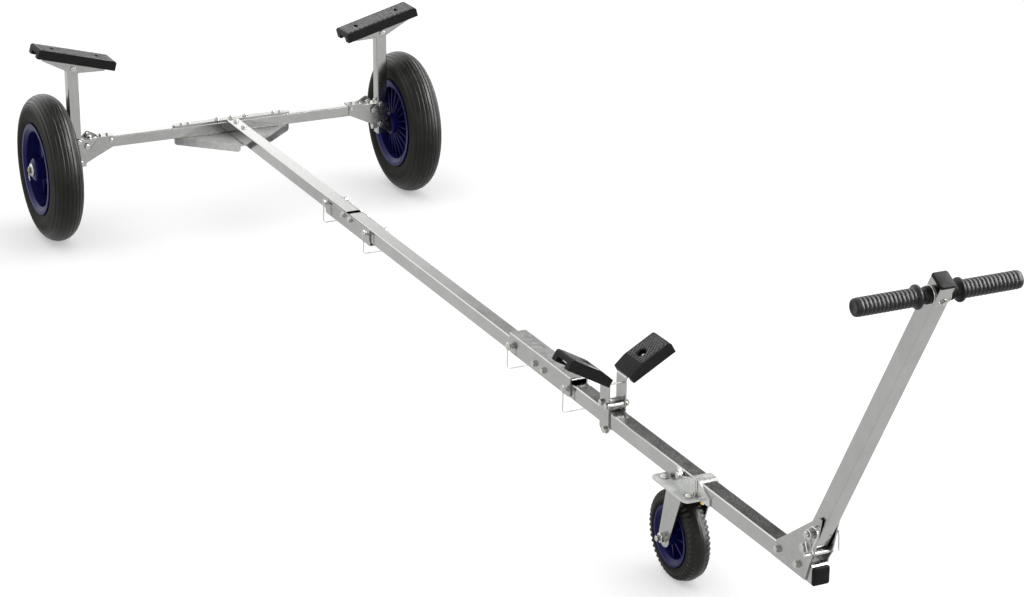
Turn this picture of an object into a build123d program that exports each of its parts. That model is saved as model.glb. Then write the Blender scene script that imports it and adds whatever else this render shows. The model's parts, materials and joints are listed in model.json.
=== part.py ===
from build123d import *
from math import acos, asin, atan2, cos, degrees, hypot, radians, sin, tan
import os

# A hand-launching trolley for a small dinghy: two main wheels on a cross beam with
# padded bunks, a drawbar in three lengths joined by folding splices, a V for the bow,
# a castoring jockey wheel and a folding handle. Millimetres, x forward to the handle,
# y to the trolley's left, z up. The frame is drawn level, and stood on its wheels last.

# ---- Driving dimensions ----
running_gap = 0.05      # radial play of a shaft in the hole it turns in
seat_gap = 0.3          # between a moving piece and what it lies against
sheet = 3               # folded sheet of brackets, channels and straps
tube_corner = 3

# Main wheels and stub axles
wheel_radius = 200
tyre_width = 88
track = 1040
rim_radius = 123.5      # the rim's lip
rim_width = 84
bead_radius = 108       # the barrel that the tyre sits on
barrel_wall = 5
barrel_draft = 4        # how much narrower the barrel is at the disc
lip_width = 6
lip_land = 9.5          # the flat ring that shows round the rim
lip_roll = 7            # how deep the lip rolls in to the barrel
disc_thickness = 6
hub_radius = 30
hub_length = 96
hub_chamfer = 4
rim_ribs = ((20, 3, -35, -22), (6, 14, 16, 8))     # number, thickness, height at hub and barrel
axle_radius = 10
axle_shoulder = 3       # how much thicker the axle is between post and hub
axle_washer_radius = 18
axle_washer_thickness = 3
axle_nose = 7           # what the axle shows beyond its washer
axle_stub_end = 12      # what the axle shows inside the post

# Cross beam, posts and hub brackets
axle_drop = 40          # the axle, below the beam
beam_size = 30
beam_wall = 2.5
post_offset = 72        # from the wheel's middle plane in to the post's
post_foot_drop = 22     # the post's foot, below the axle
post_rise = 244         # the post's top, above the beam's bottom
bracket_reach = 103     # from the post's middle in along the beam
bracket_knee = 45       # where the bracket's lower edge bends
bracket_foot_drop = 16
bracket_cover = 40      # how long the bracket's web lies on the beam
bracket_dip = 26        # the notch in the front cheek, below the beam's top
bracket_peak = 15       # the rear cheek's crest, above the beam's top
beam_plate_length = 342
beam_plate_width = 25
beam_plate_thickness = 5

# Gusset under the junction
gusset_thickness = 4
gusset_half_rear = 168
gusset_half_front = 28
gusset_shoulder = 4     # where its diagonals start
gusset_front = 144
gusset_flange = 20
gusset_corner = 8

# Drawbar tubes and their folding splices
drawbar_size = 35
drawbar_wall = 3
drawbar_length = 3078   # from the beam's front face to the cap
cap_thickness = 5
cap_overhang = 0.5
splice_rear_x = 892
splice_front_x = 1978
splice_rear_length = 284
splice_front_length = 296
splice_rear_gap = 5.5   # between the tubes and the channel's web
splice_front_gap = 10
pivot_spacing = 44
splice_rear_drop = 11   # the pivots, below the top of the drawbar
splice_front_drop = 15
tube_past_pivot = 12
flange_gap = 0.5
splice_flange = 32      # how far a splice's flanges lap the tube
splice_fold = 3         # its folds, rounded outside
splice_corner = 9
splice_bolt_head = 9
pin_inset = 12
bolt_radius = 4
bolt_head_radius = 7
bolt_head = 5
pin_head_radius = 6
pin_head = 14

# Rubber pads on bunks and bow V
pad_thickness = 25
pad_slot = 12           # the slot along a pad's underside, for its bracket
pad_bevel = 4

# Bunks on the posts
bunk_tilt = 15.1
bunk_length = 218
bunk_width = 80
bunk_rise = 15.8        # from the pivot up to the pad's underside
bunk_pivot_drop = 12    # from the post's top down to the pivot
bunk_pivot_radius = 5
bunk_head_radius = 8
bunk_bracket_length = 177
bunk_bracket_end = 8    # what the bracket shows under the pad at its ends
bunk_lobe_radius = 13
bunk_recess_spacing = 126
bunk_recess_length = 18
bunk_recess_width = 8
bunk_recess_depth = 8

# Bow V
bow_x = 2281
bow_angle = 29.5
bow_pad_length = 110
bow_pad_width = 72
bow_pad_inner = 16.5    # the inner top edge of a pad, from the middle plane
bow_pad_rise = 121      # the same, above the bottom of the drawbar
bow_bevel = (30, 7)     # run and drop of the pad's inner end
bow_hole_radius = 10
bow_strap_width = 40
bow_strap_drop = 14     # the strap's foot, below the drawbar
bow_strap_short = 8     # what the strap's arm falls short of the pad's end
bow_bolt_drop = 6.5     # the clamp bolt's middle, below the drawbar
bow_strap_corner = 8
bow_cross_rise = 49     # the cross bolts, above the bottom of the drawbar
bow_cross_back = -10    # the rear one's x, from the V's middle
bow_cross_front = 14
bow_clamp_front = 6     # the same of the bolt under the drawbar
bow_spacer_radius = 7

# Jockey wheel and its castor
jockey_radius = 96
jockey_width = 50
jockey_rim_radius = 64
jockey_rim_width = 48
jockey_bead_depth = 9
jockey_lip_land = 5
jockey_hub_radius = 18
jockey_ribs = ((8, 4, -17, -12), (8, 4, 17, 12))
jockey_x = 2574
castor_trail = 36
castor_height = 123.4   # from the wheel's axle up to the drawbar
castor_plate_length = 143
castor_plate_width = 104
castor_plate_thickness = 4
castor_plate_corner = 14
castor_under_inset = 5  # the second plate, inside the first's edge
castor_under_thickness = 3
castor_race_radius = 32
castor_race = 5
castor_crown = 4
castor_kingpin_radius = 6
fork_clearance = 8
fork_leg = 3
fork_top_width = 60
fork_tip_radius = 21
castor_axle_radius = 6
castor_nut_radius = 10
saddle_strap_x = 2666
saddle_strap_width = 28
saddle_rear_foot = 84   # from the strap's middle
saddle_rear_shoulder = 50
saddle_front = 56
saddle_skirt = 16       # how high its side plates stand at their ends

# Handle
handle_lean = 29
handle_pivot_x = 3068
handle_pivot_rise = 66  # above the bottom of the drawbar
handle_pivot_radius = 5
handle_pivot_head = 8
handle_reach = 688      # from the pivot to the handlebar
handle_top = 30         # the post's end beyond the handlebar
handle_post_width = 30
handle_post_depth = 35
handle_wall = 2.5
stop_radius = 3.5
stop_rise = 9           # the stop bar, up the post from the pivot
foot_outline = [        # a side plate, from the pivot forward and the drawbar's bottom up
    (-111, 4), (-95, 42), (-63, 65), (20, 127), (44, 144), (52, 142), (32, 63), (22, 48), (6, 3),
]
stop_end = 3            # what the stop bar shows beyond a plate
lock_rise = 42          # the lock pin, up the post from the pivot
handlebar_radius = 11
handlebar_wall = 2
grip_radius = 16
grip_inner = 41
grip_outer = 162
grip_end = 3            # the closed end of a grip
collar_radius = 21
collar_width = 4

# ---- Worked out from the above ----
beam_bottom = wheel_radius + axle_drop
beam_top = beam_bottom + beam_size
beam_mid = beam_bottom + beam_size / 2
half_beam_size = beam_size / 2
drawbar_bottom = beam_bottom
drawbar_top = drawbar_bottom + drawbar_size
drawbar_mid = drawbar_bottom + drawbar_size / 2
half_bar = drawbar_size / 2
drawbar_front_end = half_beam_size + drawbar_length
post_y = track / 2 - post_offset
post_inner = post_y - half_beam_size
post_face = post_y + half_beam_size
post_foot = wheel_radius - post_foot_drop
post_top = beam_bottom + post_rise
pivot_rear_z = drawbar_top - splice_rear_drop
pivot_front_z = drawbar_top - splice_front_drop
jockey_z = drawbar_bottom - castor_height
bow_pad_inner_z = drawbar_bottom + bow_pad_rise
swivel_x = jockey_x + castor_trail
bunk_pivot_z = post_top - bunk_pivot_drop
splice_half = half_bar + flange_gap + sheet
handle_pivot_z = drawbar_bottom + handle_pivot_rise
lean_up = (sin(radians(handle_lean)), cos(radians(handle_lean)))
lean_front = (cos(radians(handle_lean)), -sin(radians(handle_lean)))

# The nose drops until the jockey wheel touches the floor.
frame_pitch = degrees(
    atan2(jockey_z - wheel_radius, jockey_x)
    + asin((wheel_radius - jockey_radius) / hypot(jockey_x, jockey_z - wheel_radius))
)
axle_line = Axis((0, 0, wheel_radius), (0, 1, 0))
finished = []


def finish(name, label, place=Location()):
    """Keep a finished piece, placed in the level frame, for writing at the end."""
    piece = name.part.moved(place)
    piece.label = label
    finished.append(piece)


def across(x, z, y=0):
    """A plane whose normal runs along +y, for what goes through the trolley sideways."""
    return Plane(origin=(x, y, z), x_dir=(1, 0, 0), z_dir=(0, 1, 0))


def lengthwise(x, y, z):
    """A plane facing forward, its x to the left and its y up."""
    return Plane(origin=(x, y, z), x_dir=(0, 1, 0), z_dir=(1, 0, 0))


def hinged(side, x, y, z, angle):
    """A plane square to the trolley's length whose x runs outward, raised by an angle."""
    turn = radians(angle)
    out = (0, side * cos(turn), sin(turn))
    return Plane(origin=(x, side * y, z), x_dir=out, z_dir=(side, 0, 0))


def facing_up(plane, up):
    """The plane that lies on a pad, a distance up from a hinged plane's own x."""
    return Plane(origin=plane.from_local_coords((0, up, 0)), x_dir=plane.x_dir, z_dir=plane.y_dir)


def tube_section(width, height, wall):
    """The section of a drawn box tube, rounded outside."""
    RectangleRounded(width, height, tube_corner)
    Rectangle(width - 2 * wall, height - 2 * wall, mode=Mode.SUBTRACT)


# ---- Wheels, drawn about z with the outside at +z ----
def make_tyre(radius, width, bead, lip, seat):
    """A tyre as one ring: a half-round crown, and walls that curve in to the rim's lips."""
    crown = radius - width / 2
    with BuildPart() as tyre:
        with BuildSketch(Plane.XZ):
            with BuildLine():
                Polyline((lip, -seat / 2), (bead, -seat / 2), (bead, seat / 2), (lip, seat / 2))
                ThreePointArc((crown, width / 2), (radius, 0), (crown, -width / 2))
                TangentArc((crown, width / 2), (lip, seat / 2), tangent=(-1, 0))
                TangentArc((crown, -width / 2), (lip, -seat / 2), tangent=(-1, 0))
            make_face()
        revolve(axis=Axis.Z)
    return tyre


def make_rim(lip, width, bead, land, hub, length, bore, rib_rings):
    """A moulded rim: lips, drafted barrel, disc and hub turned in one, with radial ribs."""
    half = width / 2
    barrel = bead - barrel_wall
    disc_edge = barrel - barrel_draft
    outside = [
        (bore, length / 2), (hub - hub_chamfer, length / 2), (hub, length / 2 - hub_chamfer),
        (hub, disc_thickness / 2), (disc_edge, disc_thickness / 2),
        (barrel, half - lip_roll), (lip - land, half), (lip, half),
        (lip, half - lip_width), (bead, half - lip_width),
    ]
    mirrored = [(r, -z) for r, z in reversed(outside)]
    with BuildPart() as rim:
        with BuildSketch(Plane.XZ):
            Polygon(*outside, *mirrored, align=None)
        revolve(axis=Axis.Z)
        for ribs, thickness, at_hub, at_barrel in rib_rings:
            with BuildSketch(Plane.XZ, mode=Mode.PRIVATE) as rib_side:
                Polygon((hub - 1, 0), (hub - 1, at_hub), (barrel + 1, at_barrel), (barrel + 1, 0),
                        align=None)
            rib = extrude(rib_side.sketch, amount=thickness / 2, both=True, mode=Mode.PRIVATE)
            with PolarLocations(0, ribs):
                add(rib)
    return rim


for side, name in ((1, "left"), (-1, "right")):
    hub_middle = (0, side * track / 2, wheel_radius)
    wheel = Location(Plane(origin=hub_middle, x_dir=(1, 0, 0), z_dir=(0, side, 0)))
    seat = rim_width - 2 * lip_width
    finish(make_tyre(wheel_radius, tyre_width, bead_radius, rim_radius, seat), f"tyre_{name}", wheel)
    finish(make_rim(rim_radius, rim_width, bead_radius, lip_land, hub_radius, hub_length,
                    axle_radius + running_gap, rim_ribs), f"rim_{name}", wheel)

# ---- Stub axles and their washers ----
hub_inner = track / 2 - hub_length / 2 - seat_gap
hub_outer = track / 2 + hub_length / 2 + seat_gap
axle_start = post_inner - axle_stub_end
axle_end = hub_outer + axle_washer_thickness + axle_nose
with BuildPart() as stub_axles:
    for side in (1, -1):
        with BuildSketch(across(0, wheel_radius, side * axle_start)):
            Circle(axle_radius)
        extrude(amount=side * (axle_end - axle_start))
        with BuildSketch(across(0, wheel_radius, side * post_face)):
            Circle(axle_radius + axle_shoulder)
        extrude(amount=side * (hub_inner - post_face))
finish(stub_axles, "stub_axles")

with BuildPart() as axle_washers:
    for side in (1, -1):
        with BuildSketch(across(0, wheel_radius, side * hub_outer)):
            Circle(axle_washer_radius)
            Circle(axle_radius, mode=Mode.SUBTRACT)
        extrude(amount=side * axle_washer_thickness)
finish(axle_washers, "axle_washers")

# ---- Cross beam in two halves, posts and hub brackets ----
web_end = post_y - bracket_reach + bracket_cover
notch_y = (web_end + post_inner) / 2
cheek_foot = [
    (post_y - bracket_reach, beam_top + sheet), (post_y - bracket_reach, beam_bottom + sheet),
    (post_y - bracket_knee, wheel_radius + half_beam_size),
    (post_face, wheel_radius - bracket_foot_drop), (post_face, beam_top - sheet),
]
cheek_notched = [(post_inner, beam_top - sheet), (notch_y, beam_top - bracket_dip)]
cheek_crested = [(post_inner - sheet, beam_top - sheet), (notch_y + sheet, beam_top + bracket_peak),
                 (notch_y - sheet, beam_top + bracket_peak)]
for side, name in ((1, "left"), (-1, "right")):
    with BuildPart() as half_beam:
        with BuildSketch(across(0, beam_mid)):
            tube_section(beam_size, beam_size, beam_wall)
        extrude(amount=side * post_inner)
    finish(half_beam, f"axle_beam_{name}")

    with BuildPart() as post:
        with BuildSketch(Plane.XY.offset(post_foot)):
            with Locations((0, side * post_y)):
                tube_section(beam_size, beam_size, beam_wall)
        extrude(amount=post_top - post_foot)
        with BuildSketch(across(0, wheel_radius)):
            Circle(axle_radius)
        extrude(amount=side * track, mode=Mode.SUBTRACT)
        with BuildSketch(lengthwise(-beam_size, side * post_y, bunk_pivot_z)):
            Circle(bunk_pivot_radius)
        extrude(amount=2 * beam_size, mode=Mode.SUBTRACT)
    finish(post, f"post_{name}")

    # One folded sheet: a notched cheek in front of beam and post, a crested one behind,
    # and a web over the beam that joins them.
    with BuildPart() as hub_bracket:
        for x, crown in ((half_beam_size, cheek_notched), (-half_beam_size - sheet, cheek_crested)):
            cheek = cheek_foot + crown + [(web_end, beam_top + sheet)]
            with BuildSketch(lengthwise(x, 0, 0)):
                Polygon(*[(side * y, z) for y, z in cheek], align=None)
            extrude(amount=sheet)
        with BuildSketch(Plane.XY.offset(beam_top)):
            with Locations((0, side * (web_end - bracket_cover / 2))):
                Rectangle(beam_size, bracket_cover)
        extrude(amount=sheet)
    finish(hub_bracket, f"hub_bracket_{name}")

# ---- Plate on the beam and gusset under it ----
with BuildPart() as beam_plate:
    with BuildSketch(Plane.XY.offset(beam_top)):
        SlotOverall(beam_plate_length, beam_plate_width, rotation=90)
    extrude(amount=beam_plate_thickness)
finish(beam_plate, "beam_plate")

gusset_outline = [
    (-half_beam_size, gusset_half_rear), (gusset_shoulder, gusset_half_rear),
    (gusset_front, gusset_half_front), (gusset_front, -gusset_half_front),
    (gusset_shoulder, -gusset_half_rear), (-half_beam_size, -gusset_half_rear),
]
fold_x = gusset_front - gusset_shoulder
fold_y = gusset_half_rear - gusset_half_front
fold_length = hypot(fold_x, fold_y)
with BuildPart() as gusset_plate:
    with BuildSketch(Plane.XY.offset(drawbar_bottom - gusset_thickness)):
        Polygon(*gusset_outline, align=None)
    extrude(amount=gusset_thickness)
    # Lips folded down along the two diagonals, their lower corners rounded.
    for side in (1, -1):
        fold = Plane(origin=((gusset_shoulder + gusset_front) / 2,
                             side * (gusset_half_rear + gusset_half_front) / 2, drawbar_bottom),
                     x_dir=(side * fold_x, -fold_y, 0), z_dir=(-fold_y, -side * fold_x, 0))
        with BuildSketch(fold) as lip:
            with Locations((0, -gusset_flange / 2)):
                Rectangle(fold_length, gusset_flange)
            fillet(lip.vertices().group_by(Axis.Y)[0], gusset_corner)
        extrude(amount=sheet)
finish(gusset_plate, "gusset_plate")


# ---- Drawbar ----
def make_drawbar(start, end, pivots):
    """One length of drawbar, drilled across for its pivot bolts."""
    with BuildPart() as tube:
        with BuildSketch(lengthwise(start, 0, drawbar_mid)):
            tube_section(drawbar_size, drawbar_size, drawbar_wall)
        extrude(amount=end - start)
        for x, z in pivots:
            with BuildSketch(across(x, z)):
                Circle(bolt_radius + running_gap)
            extrude(amount=drawbar_size, both=True, mode=Mode.SUBTRACT)
    return tube


pivot_a = splice_rear_x - pivot_spacing / 2
pivot_b = splice_rear_x + pivot_spacing / 2
pivot_c = splice_front_x - pivot_spacing / 2
pivot_d = splice_front_x + pivot_spacing / 2
finish(make_drawbar(half_beam_size, pivot_a + tube_past_pivot, [(pivot_a, pivot_rear_z)]),
       "drawbar_rear")
finish(make_drawbar(pivot_b - tube_past_pivot, pivot_c + tube_past_pivot,
                    [(pivot_b, pivot_rear_z), (pivot_c, pivot_front_z)]), "drawbar_middle")
finish(make_drawbar(pivot_d - tube_past_pivot, drawbar_front_end, [(pivot_d, pivot_front_z)]),
       "drawbar_front")

with BuildPart() as drawbar_cap:
    with BuildSketch(lengthwise(drawbar_front_end, 0, drawbar_mid)):
        RectangleRounded(drawbar_size + 2 * cap_overhang, drawbar_size + 2 * cap_overhang, tube_corner)
    extrude(amount=cap_thickness)
finish(drawbar_cap, "drawbar_cap")


# ---- Folding splices: a channel round the tube ends, two pivots and two pins ----
def make_channel(length, up, gap, holes):
    """A channel with its web clear of the tube, above it (up 1) or below it (up -1)."""
    web_face = drawbar_mid + up * (half_bar + gap + sheet)
    lip = drawbar_mid + up * (half_bar - splice_flange)
    height = abs(web_face - lip)
    start = (holes[0][0] + holes[1][0] - length) / 2
    with BuildPart() as channel:
        with BuildSketch(lengthwise(start, 0, (web_face + lip) / 2)) as section:
            Rectangle(2 * splice_half, height)
            fillet(section.vertices().group_by(Axis.Y)[-1 if up > 0 else 0], splice_fold)
            with Locations((0, -up * sheet)):
                Rectangle(2 * (splice_half - sheet), height, mode=Mode.SUBTRACT)
        extrude(amount=length)
        # The free corners of both flanges are rounded.
        free_corners = channel.edges().filter_by(Axis.Y).group_by(Axis.Z)[0 if up > 0 else -1]
        fillet(free_corners, splice_corner)
        for x, z in holes:
            with BuildSketch(across(x, z)):
                Circle(bolt_radius)
            extrude(amount=drawbar_size, both=True, mode=Mode.SUBTRACT)
    return channel


def make_cross_bolts(places, half_width, head):
    """Bolts across the drawbar, a head on each side of the plates they hold."""
    with BuildPart() as bolts:
        for x, z in places:
            with BuildSketch(across(x, z, -half_width)):
                Circle(bolt_radius)
            extrude(amount=2 * half_width)
            for side in (1, -1):
                with BuildSketch(across(x, z, side * half_width)):
                    RegularPolygon(bolt_head_radius, 6)
                extrude(amount=side * head)
    return bolts


def make_pin_ends(places, half_width, depth):
    """What shows of the linch pins: an end on each side, seated in its plate."""
    with BuildPart() as pins:
        for x, z in places:
            for side in (1, -1):
                with BuildSketch(across(x, z, side * (half_width - depth))):
                    Circle(bolt_radius)
                extrude(amount=side * depth)
                with BuildSketch(across(x, z, side * half_width)):
                    Circle(pin_head_radius)
                extrude(amount=side * pin_head)
    return pins


for middle, z, length, up, gap, name in (
    (splice_rear_x, pivot_rear_z, splice_rear_length, -1, splice_rear_gap, "rear"),
    (splice_front_x, pivot_front_z, splice_front_length, 1, splice_front_gap, "front"),
):
    bolts = [(middle + side * pivot_spacing / 2, z) for side in (-1, 1)]
    pins = [(middle + side * (length / 2 - pin_inset), z) for side in (-1, 1)]
    finish(make_channel(length, up, gap, bolts + pins), f"splice_channel_{name}")
    finish(make_cross_bolts(bolts, splice_half, splice_bolt_head), f"splice_bolts_{name}")
    finish(make_pin_ends(pins, splice_half, sheet + flange_gap - seat_gap), f"splice_pins_{name}")


# ---- Bunks: a moulded pad on a folded bracket that tilts on the post ----
web_top = bunk_rise + pad_slot
pad_top = bunk_rise + pad_thickness
cheek_in = half_beam_size + seat_gap
cheek_out = cheek_in + sheet
lobe_turn = (atan2(bunk_bracket_end, bunk_bracket_length / 2)
             - acos(bunk_lobe_radius / hypot(bunk_bracket_length / 2, bunk_bracket_end)))
lobe_side = bunk_lobe_radius * cos(lobe_turn)
lobe_low = bunk_lobe_radius * sin(lobe_turn)
for side, name in ((1, "left"), (-1, "right")):
    tilted = hinged(side, 0, post_y, bunk_pivot_z, bunk_tilt)
    with BuildPart() as bunk_pad:
        with BuildSketch(tilted) as pad_side:
            with Locations((0, (bunk_rise + pad_top) / 2)):
                Rectangle(bunk_length, pad_thickness)
            chamfer(pad_side.vertices().group_by(Axis.Y)[-1], pad_bevel)
        extrude(amount=bunk_width / 2, both=True)
        with BuildSketch(tilted):
            with Locations((0, (bunk_rise + web_top) / 2)):
                Rectangle(bunk_length, pad_slot)
        extrude(amount=cheek_out + seat_gap, both=True, mode=Mode.SUBTRACT)
        with BuildSketch(facing_up(tilted, pad_top)):
            with GridLocations(bunk_recess_spacing, 0, 2, 1):
                SlotOverall(bunk_recess_length, bunk_recess_width, rotation=90)
        extrude(amount=-bunk_recess_depth, mode=Mode.SUBTRACT)
    finish(bunk_pad, f"bunk_pad_{name}")

    with BuildPart() as bunk_bracket:
        with BuildSketch(tilted):
            Polygon((-bunk_bracket_length / 2, web_top), (bunk_bracket_length / 2, web_top),
                    (bunk_bracket_length / 2, bunk_bracket_end), (lobe_side, lobe_low),
                    (-lobe_side, lobe_low), (-bunk_bracket_length / 2, bunk_bracket_end), align=None)
            Circle(bunk_lobe_radius)
        extrude(amount=cheek_out, both=True)
        with BuildSketch(tilted):
            Rectangle(2 * bunk_bracket_length, 2 * (web_top - sheet))
        extrude(amount=cheek_in, both=True, mode=Mode.SUBTRACT)
        with BuildSketch(tilted):
            Circle(bunk_pivot_radius + running_gap)
        extrude(amount=2 * cheek_out, both=True, mode=Mode.SUBTRACT)
    finish(bunk_bracket, f"bunk_bracket_{name}")

with BuildPart() as bunk_pivots:
    bolt_half = cheek_out + seat_gap
    for side in (1, -1):
        with BuildSketch(lengthwise(-bolt_half, side * post_y, bunk_pivot_z)):
            Circle(bunk_pivot_radius)
        extrude(amount=2 * bolt_half)
        for face in (-bolt_half - bolt_head, bolt_half):
            with BuildSketch(lengthwise(face, side * post_y, bunk_pivot_z)):
                RegularPolygon(bunk_head_radius, 6)
            extrude(amount=bolt_head)
finish(bunk_pivots, "bunk_pivots")

# ---- Bow V: a strap bent out under each pad, clamped to the drawbar ----
bow_turn = radians(bow_angle)
pad_seat = pad_thickness - pad_slot
seat_y = bow_pad_inner + pad_seat * sin(bow_turn)
seat_z = bow_pad_inner_z - pad_seat * cos(bow_turn)
arm_end_y = seat_y + (bow_pad_length - bow_strap_short) * cos(bow_turn)
arm_end_z = seat_z + (bow_pad_length - bow_strap_short) * sin(bow_turn)
leg_outer = half_bar + sheet
knee_z = seat_z + (half_bar - seat_y) * tan(bow_turn)
elbow_z = seat_z + (leg_outer - seat_y) * tan(bow_turn) - sheet / cos(bow_turn)
strap_foot = drawbar_bottom - bow_strap_drop
cross_z = drawbar_bottom + bow_cross_rise
bow_bolt_places = [
    (bow_x + bow_cross_back, cross_z), (bow_x + bow_cross_front, cross_z),
    (bow_x + bow_clamp_front, drawbar_bottom - bow_bolt_drop),
]
for side, name in ((1, "left"), (-1, "right")):
    rest = hinged(side, bow_x, bow_pad_inner, bow_pad_inner_z, bow_angle)
    with BuildPart() as bow_pad:
        with BuildSketch(rest):
            Polygon((bow_bevel[0], 0), (bow_pad_length - pad_bevel, 0), (bow_pad_length, -pad_bevel),
                    (bow_pad_length, -pad_thickness), (0, -pad_thickness), (0, -bow_bevel[1]),
                    align=None)
        extrude(amount=bow_pad_width / 2, both=True)
        with BuildSketch(rest):
            with Locations((bow_pad_length / 2, pad_slot / 2 - pad_thickness)):
                Rectangle(bow_pad_length, pad_slot)
        extrude(amount=bow_strap_width / 2 + seat_gap, both=True, mode=Mode.SUBTRACT)
        with BuildSketch(facing_up(rest, 0)):
            with Locations((bow_pad_length / 2, 0)):
                Circle(bow_hole_radius)
        extrude(amount=-pad_thickness, mode=Mode.SUBTRACT)
    finish(bow_pad, f"bow_pad_{name}")

    # The strap's arm fills the slot under the pad; its leg stands on the drawbar's side.
    with BuildPart() as bow_strap:
        with BuildSketch(lengthwise(bow_x - bow_strap_width / 2, 0, 0)):
            Polygon(*[(side * y, z) for y, z in (
                (half_bar, strap_foot), (half_bar, knee_z), (arm_end_y, arm_end_z),
                (arm_end_y + sheet * sin(bow_turn), arm_end_z - sheet * cos(bow_turn)),
                (leg_outer, elbow_z), (leg_outer, strap_foot))], align=None)
        extrude(amount=bow_strap_width)
        chamfer(bow_strap.edges().filter_by(Axis.Y).group_by(Axis.Z)[0], bow_strap_corner)
        for x, z in bow_bolt_places:
            with BuildSketch(across(x, z)):
                Circle(bolt_radius)
            extrude(amount=drawbar_size, both=True, mode=Mode.SUBTRACT)
    finish(bow_strap, f"bow_strap_{name}")

bow_cross_bolts = make_cross_bolts(bow_bolt_places, leg_outer, bolt_head)
with BuildPart() as bow_bolts:
    add(bow_cross_bolts.part)
    with BuildSketch(across(*bow_bolt_places[0])):
        Circle(bow_spacer_radius)
    extrude(amount=half_bar, both=True)
finish(bow_bolts, "bow_bolts")

# ---- Castor: plates under the drawbar, saddle over it, fork and jockey wheel ----
plate_bottom = drawbar_bottom - castor_plate_thickness
race_top = plate_bottom - castor_under_thickness
race_bottom = race_top - castor_race
crown_top = race_bottom - seat_gap
swivel = Location((swivel_x, 0))
with BuildPart() as castor_plate:
    with BuildSketch(Plane.XY.offset(plate_bottom)):
        with Locations(swivel):
            RectangleRounded(castor_plate_length, castor_plate_width, castor_plate_corner)
    extrude(amount=castor_plate_thickness)
    with BuildSketch(Plane.XY.offset(race_top)):
        with Locations(swivel):
            RectangleRounded(castor_plate_length - 2 * castor_under_inset,
                             castor_plate_width - 2 * castor_under_inset,
                             castor_plate_corner - castor_under_inset)
    extrude(amount=castor_under_thickness)
    with BuildSketch(Plane.XY.offset(race_top)):
        with Locations(swivel):
            Circle(castor_race_radius)
    extrude(amount=-castor_race)
    with BuildSketch(Plane.XY.offset(race_bottom)):
        with Locations(swivel):
            Circle(castor_kingpin_radius + running_gap)
    extrude(amount=drawbar_bottom - race_bottom, mode=Mode.SUBTRACT)
finish(castor_plate, "castor_plate")

with BuildPart() as castor_saddle:
    side_plate = [
        (-saddle_rear_foot, drawbar_bottom), (-saddle_rear_shoulder, drawbar_bottom + saddle_skirt),
        (-saddle_strap_width / 2, drawbar_top + sheet), (saddle_strap_width / 2, drawbar_top + sheet),
        (saddle_front, drawbar_bottom + saddle_skirt), (saddle_front, drawbar_bottom),
    ]
    with BuildSketch(across(saddle_strap_x, 0)):
        Polygon(*[(x, -z) for x, z in side_plate], align=None)
    extrude(amount=half_bar + sheet, both=True)
    with BuildSketch(across(saddle_strap_x, drawbar_mid)):
        Rectangle(2 * (saddle_rear_foot + saddle_front), drawbar_size)
    extrude(amount=half_bar, both=True, mode=Mode.SUBTRACT)
finish(castor_saddle, "castor_saddle")

leg_in = jockey_width / 2 + fork_clearance
leg_out = leg_in + fork_leg
with BuildPart() as castor_fork:
    for side in (1, -1):
        with BuildSketch(across(jockey_x, jockey_z, side * leg_in)):
            with BuildLine():
                tip_rear = (-fork_tip_radius, 0)
                tip_front = (fork_tip_radius, 0)
                top_front = (castor_trail + fork_top_width / 2, jockey_z - crown_top)
                top_rear = (castor_trail - fork_top_width / 2, jockey_z - crown_top)
                Polyline(tip_front, top_front, top_rear, tip_rear)
                ThreePointArc(tip_rear, (0, fork_tip_radius), tip_front)
            make_face()
            Circle(castor_axle_radius, mode=Mode.SUBTRACT)
        extrude(amount=side * fork_leg)
    with BuildSketch(Plane.XY.offset(crown_top)):
        with Locations(swivel):
            Rectangle(fork_top_width, 2 * leg_in)
    extrude(amount=-castor_crown)
    with BuildSketch(Plane.XY.offset(crown_top)):
        with Locations(swivel):
            Circle(castor_kingpin_radius)
    extrude(amount=drawbar_bottom - race_bottom)
finish(castor_fork, "castor_fork")

with BuildPart() as castor_axle:
    with BuildSketch(across(jockey_x, jockey_z)):
        Circle(castor_axle_radius)
    extrude(amount=leg_out, both=True)
    for side in (1, -1):
        with BuildSketch(across(jockey_x, jockey_z, side * leg_out)):
            RegularPolygon(castor_nut_radius, 6)
        extrude(amount=side * bolt_head)
finish(castor_axle, "castor_axle")

jockey = Location(Plane(origin=(jockey_x, 0, jockey_z), x_dir=(1, 0, 0), z_dir=(0, 1, 0)))
jockey_bead = jockey_rim_radius - jockey_bead_depth
finish(make_tyre(jockey_radius, jockey_width, jockey_bead, jockey_rim_radius,
                 jockey_rim_width - 2 * lip_width), "jockey_tyre", jockey)
finish(make_rim(jockey_rim_radius, jockey_rim_width, jockey_bead, jockey_lip_land, jockey_hub_radius,
                2 * (leg_in - seat_gap), castor_axle_radius + running_gap, jockey_ribs),
       "jockey_rim", jockey)


# ---- Handle foot on the drawbar ----
def up_post(along, front=0):
    """A point in x and z, measured up the leaning post from its pivot."""
    return (handle_pivot_x + along * lean_up[0] + front * lean_front[0],
            handle_pivot_z + along * lean_up[1] + front * lean_front[1])


stop_at = up_post(stop_rise, handle_post_depth / 2 + stop_radius + seat_gap)
lock_at = up_post(lock_rise)
for side, name in ((1, "left"), (-1, "right")):
    with BuildPart() as handle_foot:
        with BuildSketch(across(handle_pivot_x, drawbar_bottom, side * half_bar)):
            Polygon(*[(x, -z) for x, z in foot_outline], align=None)
        extrude(amount=side * sheet)
        for (x, z), radius in (((handle_pivot_x, handle_pivot_z), handle_pivot_radius),
                               (stop_at, stop_radius), (lock_at, bolt_radius)):
            with BuildSketch(across(x, z)):
                Circle(radius)
            extrude(amount=drawbar_size, both=True, mode=Mode.SUBTRACT)
    finish(handle_foot, f"handle_foot_{name}")

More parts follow.
